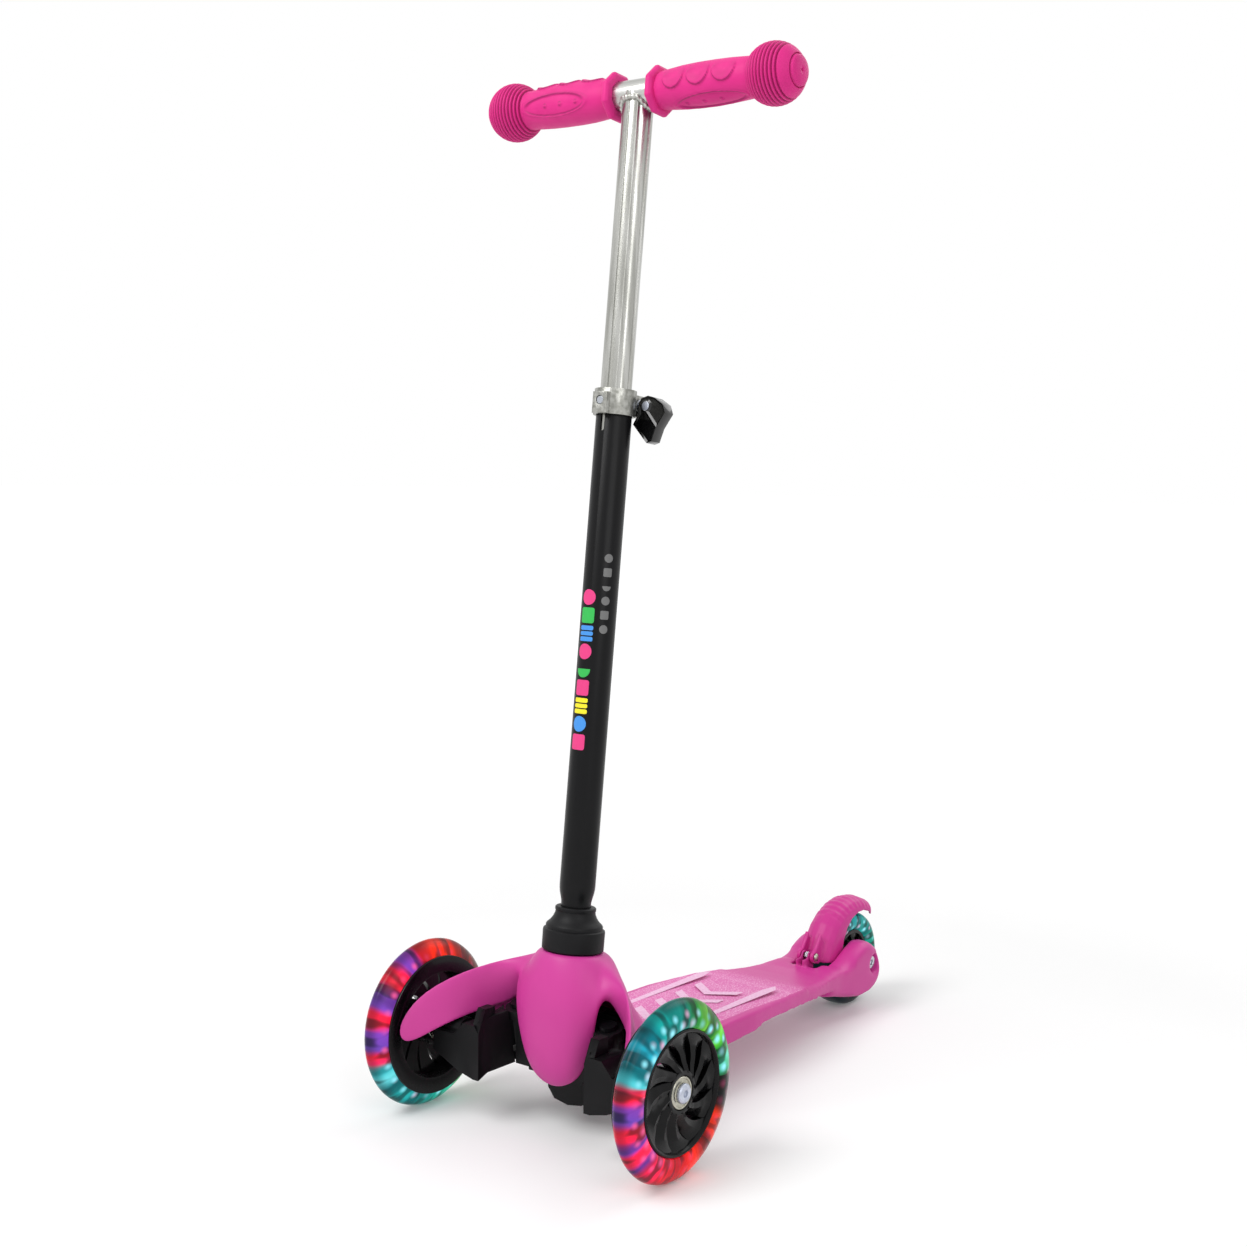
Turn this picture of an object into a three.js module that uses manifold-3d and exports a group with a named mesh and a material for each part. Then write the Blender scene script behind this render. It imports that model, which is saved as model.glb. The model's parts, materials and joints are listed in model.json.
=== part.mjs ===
// Three wheel kids scooter: it steers by leaning, and its T bar slides for height.
// Millimetres. +Z is up, the scooter faces -Y, and its height lever is on the +X side.
// Origin: on the ground, at the middle of the object's box.
import * as THREE from "three";
import { mergeVertices } from "three/addons/utils/BufferGeometryUtils.js";
import Module from "manifold-3d";

const wasm = await Module();
wasm.setup();

const degree = Math.PI / 180;

// Driving dimensions
const gap = 0.3; // between pieces that touch or turn in each other
const overrun = 3; // how far a cutting shape runs past what it cuts
const wheelbase = 403; // front axle to rear axle
const frontTrackHalf = 109; // middle plane of the scooter to a front wheel's middle plane
const axleRadius = 3.9;
const bearing = { outerRadius: 11, width: 7, seatStep: 2, sleeveWall: 3.8, segments: 16 };
const frontBolt = { headRadius: 6.6, headThickness: 3 };
const rearBolt = { headRadius: 6.5, headThickness: 3.4, nutThickness: 4.4 };

const frontWheel = {
  radius: 60,
  width: 24,
  crownHeight: 8,
  hubRadius: 41.5,
  rimThickness: 3.5,
  rimOut: 8.5, // the rim's outboard edge, from the wheel's middle plane
  flangeIn: 11.6, // the flange's inboard face, from the same plane
  flangeThickness: 2,
  flangeRadius: 49.5,
  lightDepth: 4,
  lightWidth: 12,
  bossRadius: 14.5,
  bossOut: 8,
  bossIn: 11.2,
  webFrom: 2,
  webThickness: 5,
  leafCount: 12,
  leafInner: 18.5,
  leafOuter: 35.5,
  leafWidth: 5,
  leafSweep: 30,
  segments: 32,
};

const rearWheel = {
  radius: 40,
  width: 24,
  crownHeight: 8,
  hubRadius: 25,
  rimThickness: 3,
  rimOut: 9,
  flangeIn: 9,
  flangeThickness: 2,
  flangeRadius: 25,
  lightDepth: 3.5,
  lightWidth: 11,
  bossRadius: 14,
  bossOut: 11.2,
  bossIn: 11.2,
  webFrom: -2.5,
  webThickness: 5,
  leafCount: 8,
  leafInner: 16,
  leafOuter: 21,
  leafWidth: 2.4,
  leafSweep: 26,
  segments: 28,
};

const stem = {
  baseY: 30.6, // foot of the collar on the stem's axis, behind the front axle
  baseZ: 2.1 * frontWheel.radius,
  lean: 6, // degrees, top towards the rear
  barHeight: 594.9, // foot of the collar to the handlebar's axis, along the stem
};

const lowerTube = {
  radius: 12.5,
  wall: 1.25,
  swageRadius: 10.4,
  swageFrom: 31,
  swageTo: 43,
  foot: -58,
  top: 386,
  slotWidth: 3.2,
  slotFoot: 360,
  segments: 24,
};

const upperTube = { slip: 0.35, wall: 1.6, fluteDepth: 0.7, fluteCount: 8, insertion: 92 };
const handlebar = { radius: 10.5, wall: 1.6, halfLength: 124, segments: 20 };
const weld = { reach: 1.8, height: 7 };

const grip = {
  flangeFrom: 15.5,
  flangeWidth: 6,
  flangeRadius: 17.6,
  neckRadius: 13.4,
  bodyRadius: 14.8,
  ballCentre: 112,
  ballRadius: 20.8,
  endDiscRadius: 11.5,
  endFace: 133,
  segments: 16,
};

const clamp = {
  foot: 371.5,
  height: 18,
  wall: 2.1,
  lipHeight: 3.2,
  blockHalf: 6,
  blockReach: 5, // past the tube's wall, as the next two are
  slitWidth: 3,
  earThickness: 6.1,
  earReach: 10.5,
  earHeight: 15,
  boltReach: 6,
  boltRadius: 2.4,
  nutRadius: 4.3,
  nutThickness: 3.6,
  washerRadius: 5,
  washerThickness: 1,
  screwRadius: 2.8,
  screwTipRadius: 1.2,
};

const lever = { pivotOut: 16, width: 10, webWidth: 3.6, tailDrop: 26, reach: 17.4, barrelRadius: 3.1 };

const collar = {
  ringRadius: 21.7,
  ringHeight: 14.8,
  coneFoot: 19.6,
  coneMiddle: 17,
  coneTop: 13.6,
  coneHeight: 15.2,
};

const socket = { radius: 17.2, depth: 62, segments: 20 };

const kingpin = {
  halfSpread: 40, // middle plane to a kingpin
  behind: 25, // middle of the kingpin, behind the front axle
  height: 1.035 * frontWheel.radius,
  tilt: 12, // degrees, top towards the front
  radius: 3.6,
  headRadius: 6,
  headThickness: 3,
  sleeveRadius: 9,
  sleeveHalf: 12,
  springRoom: 5.2,
  lugRadius: 10,
  lugThickness: 6.5,
  leverLength: 28,
  leverToe: 7, // how far the lever's eye sits inboard of the kingpin
  segments: 12,
};

const arm = {
  bossRadius: 10.5,
  noseRadius: 6.4,
  noseLength: 3,
  bossFrom: 70,
  blockFrom: 47,
  blockTo: 90,
  blockFoot: 33.5,
  blockTop: 72,
  rise: 11,
  front: 14, // block's front face, ahead of the axle
  back: 12,
  uprightWidth: 7,
  uprightBack: 3,
  uprightTop: 83,
  webHalf: 20, // knuckle's web, along the kingpin
  leverThickness: 6,
  eyeRadius: 6.6,
};

const tieRod = {
  width: 10.4,
  thickness: 3,
  pinRadius: 2.2,
  pinPlay: 1.4, // the eyes swing on an arc, and the bar slides straight
  headRadius: 4,
  headThickness: 1.8,
};

const returnSpring = { wire: 1.2, curls: 2, pitch: 1.8, meanRadius: 4.9, leg: 5 };

const chassis = {
  blockHalf: 24,
  blockFront: 13,
  blockBack: 44.5,
  foot: 40,
  top: 1.43 * frontWheel.radius,
  keelHalf: 18,
  keelFront: 27,
  keelBack: 74,
  keelFoot: 16,
  tongueHalf: 36,
  tongueBack: 100,
  tongueFoot: 36,
  beamFront: 34,
  beamBack: 43,
  shoulderHalf: 36,
  shoulderBack: 18,
  shoulderFoot: 42,
  lowBeam: { half: 49, from: 0.8 * frontWheel.radius, to: 0.92 * frontWheel.radius },
  highBeam: { half: 37, from: 1.27 * frontWheel.radius, to: 1.415 * frontWheel.radius },
};

const cover = {
  wall: 2.6,
  rimRadius: 23,
  rimHeight: 2.09 * frontWheel.radius, // height that the cover's shares count from
  domeHalf: 34,
  noseHalf: 33,
  noseEdge: 11, // nose's cut edges, behind the front axle
  wingTipOut: 95.5,
  wingHalf: 7.5,
  rearHalf: 53,
  rearBack: 77,
};

const deck = {
  front: 47.5,
  backAhead: 55, // rear edge of the plate, ahead of the rear axle
  halfWidth: 52.5,
  top: 56,
  plate: 4,
  skirt: 17.5,
  skirtWall: 3,
  slotAhead: 66, // front edge of the fender's slot, ahead of the rear axle
  slotHalf: 12,
  wellAhead: 55.5, // front edge of the wheel well, ahead of the rear axle
  ribThickness: 2.4,
};

const ear = {
  inner: 15.5,
  crest: 25,
  outer: 33,
  length: 92,
  height: 46,
  behindAxle: 14.5,
  pocketRadius: 8,
  pocketFrom: 25,
};

const fender = {
  radius: 54,
  wall: 2.5,
  half: 15,
  crown: 13,
  tailAngle: 50, // degrees above the horizontal, seen from the rear
  footAngle: 172,
  cheekOuter: 8,
  pinAhead: 59,
  pinAbove: 13.5,
  pinRadius: 2.2,
  barrelRadius: 5,
  pinHead: 3.3,
  lugWall: 1.8,
};

const brakeSpring = { wire: 0.8, curls: 2, pitch: 1.4, meanRadius: 3.2, leg: 5 };
const screw = { radius: 2.1, headRadius: 4.2, headThickness: 2.4 };

// What follows is worked out from the sizes above
const frontAxleY = -(wheelbase + rearWheel.radius - frontWheel.radius) / 2;
const frontAxle = new THREE.Vector3(0, frontAxleY, frontWheel.radius);
const rearAxle = new THREE.Vector3(0, frontAxleY + wheelbase, rearWheel.radius);
const kingpinTilt = kingpin.tilt * degree;
const deckBack = wheelbase - deck.backAhead;
const slotFront = wheelbase - deck.slotAhead;
const wellFront = wheelbase - deck.wellAhead;
const upperRadius = lowerTube.radius - lowerTube.wall - upperTube.slip;
const clampRadius = lowerTube.radius + clamp.wall;
const blockFront = lowerTube.radius + clamp.blockReach; // face of the screw block, ahead of the stem's axis
const earBack = lowerTube.radius + clamp.earReach;
const boltBehind = lowerTube.radius + clamp.boltReach;

const finishes = {
  pink: { color: "#c8439a", roughness: 0.45, metalness: 0 },
  gripPink: { color: "#d6307f", roughness: 0.7, metalness: 0 },
  blackPlastic: { color: "#161617", roughness: 0.5, metalness: 0 },
  blackPaint: { color: "#0f0f11", roughness: 0.35, metalness: 0.1 },
  hubBlack: { color: "#101012", roughness: 0.2, metalness: 0 },
  tyre: { color: "#2fa7a0", roughness: 0.3, metalness: 0 },
  light: { color: "#e8eef2", roughness: 0.2, metalness: 0 },
  aluminium: { color: "#c9ccd0", roughness: 0.35, metalness: 0.9 },
  steel: { color: "#9a9ca0", roughness: 0.3, metalness: 1 },
};

// Shape helpers: every shape becomes a solid, and solids are joined and cut.

// The solid of a closed geometry, whichever way round its profile ran.
function solid(geometry) {
  const bare = geometry.index ? geometry.toNonIndexed() : geometry.clone();
  bare.deleteAttribute("normal");
  bare.deleteAttribute("uv");
  const merged = mergeVertices(bare);
  const vertProperties = merged.attributes.position.array;
  const triVerts = new Uint32Array(merged.index.array);
  const made = new wasm.Manifold(new wasm.Mesh({ numProp: 3, vertProperties, triVerts }));
  if (made.volume() > 0) return made;
  for (let i = 0; i < triVerts.length; i += 3) {
    [triVerts[i + 1], triVerts[i + 2]] = [triVerts[i + 2], triVerts[i + 1]];
  }
  return new wasm.Manifold(new wasm.Mesh({ numProp: 3, vertProperties, triVerts }));
}

function geometryOf(body) {
  const mesh = body.getMesh();
  const geometry = new THREE.BufferGeometry();
  geometry.setAttribute("position", new THREE.BufferAttribute(new Float32Array(mesh.vertProperties), 3));
  geometry.setIndex(new THREE.BufferAttribute(new Uint32Array(mesh.triVerts), 1));
  geometry.computeVertexNormals();
  return geometry;
}

function join(...bodies) {
  return bodies.reduce((whole, body) => whole.add(body));
}

function cut(body, ...cutters) {
  return cutters.reduce((whole, cutter) => whole.subtract(cutter), body);
}

function moved(body, x, y, z) {
  return body.translate([x, y, z]);
}

// Turned about the X axis, then moved.
function tilted(body, angle, x, y, z) {
  return body.rotate([angle / degree, 0, 0]).translate([x, y, z]);
}

const toAxis = {
  x: new THREE.Matrix4().makeRotationZ(-Math.PI / 2),
  y: new THREE.Matrix4(),
  z: new THREE.Matrix4().makeRotationX(Math.PI / 2),
};

// A turned shape about an axis. Points are [along the axis, radius]; flats touch each radius.
function turned(points, axis, segments) {
  const flats = 1 / Math.cos(Math.PI / segments);
  const profile = points.map(([along, radius]) => new THREE.Vector2(radius * flats, along));
  const halfStep = Math.PI / segments;
  const geometry = new THREE.LatheGeometry(profile, segments, halfStep, 2 * Math.PI);
  return solid(geometry.applyMatrix4(toAxis[axis]));
}

function rod(radius, from, to, axis, segments) {
  return turned([[from, 0], [from, radius], [to, radius], [to, 0]], axis, segments);
}

function ring(inner, outer, from, to, axis, segments) {
  return turned([[from, inner], [from, outer], [to, outer], [to, inner], [from, inner]], axis, segments);
}

function box(low, high) {
  const size = high.map((value, i) => value - low[i]);
  const geometry = new THREE.BoxGeometry(...size);
  return solid(geometry.translate(...low.map((value, i) => value + size[i] / 2)));
}

const planeOf = {
  x: new THREE.Matrix4().set(0, 0, 1, 0, 1, 0, 0, 0, 0, 1, 0, 0, 0, 0, 0, 1),
  y: new THREE.Matrix4().set(1, 0, 0, 0, 0, 0, 1, 0, 0, 1, 0, 0, 0, 0, 0, 1),
  z: new THREE.Matrix4(),
};

// A flat shape pushed along an axis; its outline lies in the other two, in X, Y, Z order.
function prism(shape, from, to, axis, curveSegments = 4) {
  const options = { depth: to - from, bevelEnabled: false, curveSegments };
  const geometry = new THREE.ExtrudeGeometry(shape, options).translate(0, 0, from);
  return solid(geometry.applyMatrix4(planeOf[axis]));
}

function outline(points) {
  return new THREE.Shape(points.map(([u, v]) => new THREE.Vector2(u, v)));
}

function circlePoints(radius, segments) {
  return Array.from({ length: segments }, (_, i) => {
    const turn = (2 * Math.PI * (i + 0.5)) / segments;
    return new THREE.Vector2(radius * Math.cos(turn), radius * Math.sin(turn));
  });
}

// Points given as shares of a width and a height.
function shared(shares, width, height) {
  return shares.map(([u, v]) => [u * width, v * height]);
}

function loopNormal(loop) {
  const normal = new THREE.Vector3();
  loop.forEach((point, i) => {
    const next = loop[(i + 1) % loop.length];
    normal.add(point.clone().cross(next));
  });
  return normal.normalize();
}

// Triangles over a closed loop of points, turning the same way as the loop.
function capOf(loop) {
  const normal = loopNormal(loop);
  const u = loop[1].clone().sub(loop[0]).projectOnPlane(normal).normalize();
  const v = normal.clone().cross(u);
  const flat = loop.map((point) => new THREE.Vector2(point.dot(u), point.dot(v)));
  return THREE.ShapeUtils.triangulateShape(flat, []);
}

// A skin through closed loops that all have the same number of points.
function loft(loops) {
  const count = loops[0].length;
  const index = [];
  for (let s = 0; s + 1 < loops.length; s++) {
    for (let i = 0; i < count; i++) {
      const a = s * count + i;
      const b = s * count + ((i + 1) % count);
      index.push(a, b, b + count, a, b + count, a + count);
    }
  }
  capOf(loops[0]).forEach(([a, b, c]) => index.push(a, c, b));
  const last = (loops.length - 1) * count;
  capOf(loops.at(-1)).forEach(([a, b, c]) => index.push(last + a, last + b, last + c));
  const geometry = new THREE.BufferGeometry();
  const places = loops.flat().flatMap((point) => point.toArray());
  geometry.setAttribute("position", new THREE.Float32BufferAttribute(places, 3));
  geometry.setIndex(index);
  return solid(geometry);
}

// A level loop: an oval whose front and back halves may have different depths.
function oval(z, middleY, halfWidth, frontDepth, backDepth, points = 18) {
  return Array.from({ length: points }, (_, i) => {
    const turn = (2 * Math.PI * (i + 0.5)) / points;
    const depth = Math.sin(turn) < 0 ? frontDepth : backDepth;
    return new THREE.Vector3(halfWidth * Math.cos(turn), middleY + depth * Math.sin(turn), z);
  });
}

// Points along the middle of a spring's wire: a helix about Z with a straight leg at each end.
function springRoute(spring) {
  const stepsPerCurl = 8;
  const steps = Math.round(spring.curls * stepsPerCurl);
  const path = Array.from({ length: steps + 1 }, (_, i) => {
    const turn = (2 * Math.PI * i) / stepsPerCurl;
    const along = (spring.pitch * i) / stepsPerCurl;
    return new THREE.Vector3(spring.meanRadius * Math.cos(turn), spring.meanRadius * Math.sin(turn), along);
  });
  const startLeg = path[0].clone().sub(path[1]).setZ(0).setLength(spring.leg).add(path[0]);
  const endLeg = path[steps].clone().sub(path[steps - 1]).setZ(0).setLength(spring.leg).add(path[steps]);
  return [startLeg, ...path, endLeg];
}

// The wire's least gap to itself, from points of its route that lie over half a curl apart.
function leastGap(spring) {
  const route = springRoute(spring);
  const apart = 5;
  const spans = route.flatMap((point, i) => route.slice(i + apart).map((other) => point.distanceTo(other)));
  return Math.min(...spans) - spring.wire;
}

// A spring's round wire, about X or Z.
function coil(spring, axis) {
  const sides = 5;
  const route = springRoute(spring);
  const axisDirection = new THREE.Vector3(0, 0, 1);
  const loops = route.map((point, i) => {
    const before = route[Math.max(i - 1, 0)];
    const after = route[Math.min(i + 1, route.length - 1)];
    const tangent = after.clone().sub(before).normalize();
    const side = tangent.clone().cross(axisDirection).normalize();
    const up = side.clone().cross(tangent);
    return Array.from({ length: sides }, (_, k) => {
      const turn = (2 * Math.PI * k) / sides;
      const reach = side.clone().multiplyScalar(Math.cos(turn)).addScaledVector(up, Math.sin(turn));
      return point.clone().addScaledVector(reach, spring.wire / 2);
    });
  });
  const wound = loft(loops);
  return axis === "x" ? wound.rotate([0, 90, 0]) : wound;
}

// The scene graph

const scooter = new THREE.Group();

function group(parent, x = 0, y = 0, z = 0, tilt = 0) {
  const made = new THREE.Group();
  made.position.set(x, y, z);
  made.rotation.x = tilt;
  parent.add(made);
  return made;
}

function add(parent, name, body, finish) {
  const mesh = new THREE.Mesh(geometryOf(body), new THREE.MeshStandardMaterial(finishes[finish]));
  mesh.name = name;
  parent.add(mesh);
}

// Wheels, about the X axis, outboard side towards +X

// Tread points as shares of the tyre's half width and of its crown's height
const treadShares = [
  [-1, 0],
  [-0.94, 0.5],
  [-0.72, 0.87],
  [-0.34, 1],
  [0.34, 1],
  [0.72, 0.87],
  [0.94, 0.5],
  [1, 0],
];

function tyre(wheel) {
  const half = wheel.width / 2;
  const seat = wheel.hubRadius + gap;
  const lightHalf = wheel.lightWidth / 2 + gap;
  const lightRadius = seat + wheel.lightDepth + gap;
  const flangeSide = -wheel.flangeIn + wheel.flangeThickness + gap;
  const flangeTop = wheel.flangeRadius + gap;
  const shoulder = wheel.radius - wheel.crownHeight;
  const tread = shared(treadShares, half, wheel.crownHeight).map(([along, rise]) => {
    return [along, shoulder + rise];
  });
  const wallTop = (seat + shoulder) / 2;
  const hasFlange = wheel.flangeRadius > wheel.hubRadius;
  const inner = hasFlange
    ? [[flangeSide, seat], [flangeSide, flangeTop], [-half + gap, flangeTop]]
    : [[-wheel.rimOut, seat], [-(wheel.rimOut + half) / 2, wallTop]];
  return turned(
    [
      ...inner,
      ...tread,
      [(wheel.rimOut + half) / 2, wallTop],
      [wheel.rimOut, seat],
      [lightHalf, seat],
      [lightHalf, lightRadius],
      [-lightHalf, lightRadius],
      [-lightHalf, seat],
      inner[0],
    ],
    "x",
    wheel.segments,
  );
}

function lightRing(wheel) {
  const inner = wheel.hubRadius + gap;
  const half = wheel.lightWidth / 2;
  return ring(inner, inner + wheel.lightDepth, -half, half, "x", wheel.segments);
}

// A leaf-shaped hole that sweeps round the hub as it runs outwards.
function leaf(wheel, start) {
  const tip = (radius, angle) => [radius * Math.cos(angle), radius * Math.sin(angle)];
  const middle = (wheel.leafInner + wheel.leafOuter) / 2;
  const sweep = wheel.leafSweep * degree;
  const spread = wheel.leafWidth / middle;
  const inner = tip(wheel.leafInner, start);
  const outer = tip(wheel.leafOuter, start + sweep);
  const path = new THREE.Path();
  path.moveTo(...inner);
  path.quadraticCurveTo(...tip(middle, start + sweep / 2 + spread), ...outer);
  path.quadraticCurveTo(...tip(middle, start + sweep / 2 - spread), ...inner);
  return path;
}

function hub(wheel) {
  const rimInner = wheel.hubRadius - wheel.rimThickness;
  const flangeSide = -wheel.flangeIn + wheel.flangeThickness;
  const rim = turned(
    [
      [-wheel.flangeIn, rimInner],
      [-wheel.flangeIn, wheel.flangeRadius],
      [flangeSide, wheel.flangeRadius],
      [flangeSide, wheel.hubRadius],
      [wheel.rimOut, wheel.hubRadius],
      [wheel.rimOut, rimInner],
      [-wheel.flangeIn, rimInner],
    ],
    "x",
    wheel.segments,
  );
  const seatRadius = bearing.outerRadius + gap;
  const outSeat = wheel.bossOut - bearing.width;
  const inSeat = -wheel.bossIn + bearing.width;
  const shoulderRadius = seatRadius - bearing.seatStep;
  const boss = turned(
    [
      [-wheel.bossIn, seatRadius],
      [-wheel.bossIn, wheel.bossRadius],
      [wheel.bossOut, wheel.bossRadius],
      [wheel.bossOut, seatRadius],
      [outSeat - gap, seatRadius],
      [outSeat - gap, shoulderRadius],
      [inSeat + gap, shoulderRadius],
      [inSeat + gap, seatRadius],
      [-wheel.bossIn, seatRadius],
    ],
    "x",
    bearing.segments,
  );
  const web = new THREE.Shape(circlePoints(wheel.hubRadius - wheel.rimThickness / 2, wheel.segments));
  const middle = new THREE.Path(circlePoints((seatRadius + wheel.bossRadius) / 2, bearing.segments));
  const leaves = Array.from({ length: wheel.leafCount }, (_, i) => {
    return leaf(wheel, (2 * Math.PI * i) / wheel.leafCount);
  });
  web.holes = [middle, ...leaves];
  return join(rim, boss, prism(web, wheel.webFrom, wheel.webFrom + wheel.webThickness, "x", 3));
}

function bearingRing(from) {
  return ring(axleRadius + gap, bearing.outerRadius, from, from + bearing.width, "x", bearing.segments);
}

function magnetSleeve(wheel) {
  const from = -wheel.bossIn + bearing.width + gap;
  const to = wheel.bossOut - bearing.width - gap;
  const bore = axleRadius + gap;
  return ring(bore, bore + bearing.sleeveWall, from, to, "x", 16);
}

function addWheel(parent, wheel, suffix) {
  add(parent, "tyre_" + suffix, tyre(wheel), "tyre");
  add(parent, "light_ring_" + suffix, lightRing(wheel), "light");
  add(parent, "hub_" + suffix, hub(wheel), "hubBlack");
  add(parent, "bearing_outer_" + suffix, bearingRing(wheel.bossOut - bearing.width), "steel");
  add(parent, "bearing_inner_" + suffix, bearingRing(-wheel.bossIn), "steel");
  add(parent, "magnet_sleeve_" + suffix, magnetSleeve(wheel), "steel");
}

// A bolt along X whose domed head, with a hex socket, sits outboard of a face.
function axleBolt(face, end, { headRadius, headThickness }) {
  const from = face + gap;
  const body = turned(
    [
      [end, 0],
      [end, axleRadius],
      [from, axleRadius],
      [from, headRadius],
      [from + headThickness * 0.6, headRadius],
      [from + headThickness, headRadius * 0.8],
      [from + headThickness, 0],
    ],
    "x",
    16,
  );
  const socketDepth = headThickness * 0.7;
  const top = from + headThickness;
  return cut(body, rod(headRadius * 0.35, top - socketDepth, top + overrun, "x", 6));
}

// Front end. These shapes are made for the +X side, with y and z counted from the front axle's
// line on the ground; the other side mirrors them.

function bothSides(body) {
  return [body, body.mirror([1, 0, 0])];
}

const pinMiddle = [kingpin.halfSpread, kingpin.behind, kingpin.height];
const eyeOut = -kingpin.leverToe; // the lever's eye, across from the kingpin's axis
const lugFace = kingpin.sleeveHalf + gap; // a lug's near face, along the kingpin
const lugEnd = lugFace + kingpin.lugThickness;
const sleeveFoot = -kingpin.sleeveHalf + kingpin.springRoom;

// A body made about the kingpin's own axis, put in its tilted place.
function onKingpin(body) {
  return tilted(body, kingpinTilt, ...pinMiddle);
}

// The arm's block seen from the front, shares of its width and height
const blockShares = [
  [0, 0],
  [0.12, 0],
  [0.45, 0.09],
  [1, 0.36],
  [1, 0.75],
  [0.55, 0.75],
  [0.34, 1],
  [0.1, 1],
  [0, 0.86],
];

// The upright at the block's inboard end seen from the side, shares of its depth and height
const uprightShares = [
  [0, 0.3],
  [1, 0.3],
  [1, 1],
  [0.42, 1],
  [0, 0.68],
];

function armUpright() {
  const depth = arm.front + arm.uprightBack;
  const height = arm.uprightTop - arm.blockFoot;
  const points = shared(uprightShares, depth, height).map(([u, v]) => [u - arm.front, v + arm.blockFoot]);
  return prism(outline(points), arm.blockFrom, arm.blockFrom + arm.uprightWidth, "x");
}

function steeringArm() {
  const noseFace = frontTrackHalf - frontWheel.bossIn - gap;
  const bossFace = noseFace - arm.noseLength;
  const axleHeight = frontWheel.radius;
  const boss = moved(rod(arm.bossRadius, arm.bossFrom, bossFace, "x", 20), 0, 0, axleHeight);
  const nose = moved(rod(arm.noseRadius, bossFace - gap, noseFace, "x", 16), 0, 0, axleHeight);
  const width = arm.blockTo - arm.blockFrom;
  const height = arm.blockTop - arm.blockFoot;
  const blockPoints = shared(blockShares, width, height);
  const block = prism(
    outline(blockPoints.map(([u, v]) => [arm.blockFrom + u, arm.blockFoot + v])),
    -arm.front,
    arm.back,
    "y",
  );
  // The block's underside rises towards the rear
  const underside = prism(
    outline([
      [-arm.front, arm.blockFoot - overrun],
      [arm.back + overrun, arm.blockFoot - overrun],
      [arm.back + overrun, arm.blockFoot + arm.rise],
      [-arm.front, arm.blockFoot],
    ]),
    0,
    arm.blockTo + overrun,
    "x",
  );
  const sleeve = onKingpin(rod(kingpin.sleeveRadius, sleeveFoot, kingpin.sleeveHalf, "z", 20));
  const linkOut = arm.blockFrom - kingpin.halfSpread + overrun;
  const link = onKingpin(
    prism(
      outline([
        [0, -kingpin.sleeveRadius],
        [linkOut, -kingpin.behind - arm.front * 0.6],
        [linkOut, -kingpin.behind / 2 + arm.back * 0.6],
        [0, kingpin.sleeveRadius],
      ]),
      sleeveFoot,
      kingpin.sleeveHalf * 0.8,
      "z",
    ),
  );
  // A web from the block to the sleeve, as high as the room between the block and the lugs allows
  const web = onKingpin(
    prism(
      outline([
        [0, -kingpin.sleeveRadius],
        [linkOut, -kingpin.behind - arm.front * 0.6],
        [linkOut, -kingpin.behind / 2 + arm.back * 0.6],
        [0, 0],
      ]),
      -arm.webHalf,
      arm.webHalf,
      "z",
    ),
  );
  const leverHalf = arm.leverThickness / 2;
  const steerLever = onKingpin(
    join(
      prism(
        outline([
          [-kingpin.sleeveRadius * 0.7, 0],
          [kingpin.sleeveRadius * 0.7, 0],
          [eyeOut + arm.eyeRadius * 0.8, kingpin.leverLength],
          [eyeOut - arm.eyeRadius * 0.8, kingpin.leverLength],
        ]),
        -leverHalf,
        leverHalf,
        "z",
      ),
      moved(rod(arm.eyeRadius, -leverHalf, leverHalf, "z", 16), eyeOut, kingpin.leverLength, 0),
    ),
  );
  const past = kingpin.sleeveHalf + overrun;
  const pinBore = onKingpin(rod(kingpin.radius + gap, -past, past, "z", 16));
  const eyeRod = rod(tieRod.pinRadius + gap, -leverHalf - overrun, leverHalf + overrun, "z", 12);
  const eyeBore = onKingpin(moved(eyeRod, eyeOut, kingpin.leverLength, 0));
  const axleRod = rod(axleRadius + gap, arm.blockFrom + overrun, noseFace + overrun, "x", 16);
  const axleBore = moved(axleRod, 0, 0, axleHeight);
  const reliefRadius = kingpin.lugRadius + 4 * gap;
  const reliefTo = lugEnd + kingpin.headThickness + overrun;
  const reliefs = [[-reliefTo, sleeveFoot - gap], [kingpin.sleeveHalf - gap, reliefTo]].map((span) => {
    return onKingpin(rod(reliefRadius, ...span, "z", 20));
  });
  const massive = join(cut(block, underside), armUpright(), boss, link, web);
  const body = join(cut(massive, ...reliefs), nose, sleeve, steerLever);
  return cut(body, pinBore, eyeBore, axleBore);
}

function kingpinBolt() {
  const foot = -lugEnd - gap - kingpin.headThickness;
  const head = lugEnd + gap;
  return onKingpin(
    turned(
      [
        [foot, 0],
        [foot, kingpin.radius],
        [head, kingpin.radius],
        [head, kingpin.headRadius],
        [head + kingpin.headThickness, kingpin.headRadius],
        [head + kingpin.headThickness, 0],
      ],
      "z",
      kingpin.segments,
    ),
  );
}

function kingpinNut() {
  const top = -lugEnd - gap;
  return onKingpin(ring(kingpin.radius + gap, kingpin.headRadius, top - kingpin.headThickness, top, "z", 6));
}

// Wound round the kingpin, between the sleeve's foot and the lower lug.
function armSpring() {
  const from = -kingpin.sleeveHalf + gap + returnSpring.wire / 2;
  return onKingpin(moved(coil(returnSpring, "z"), 0, 0, from));
}

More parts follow.
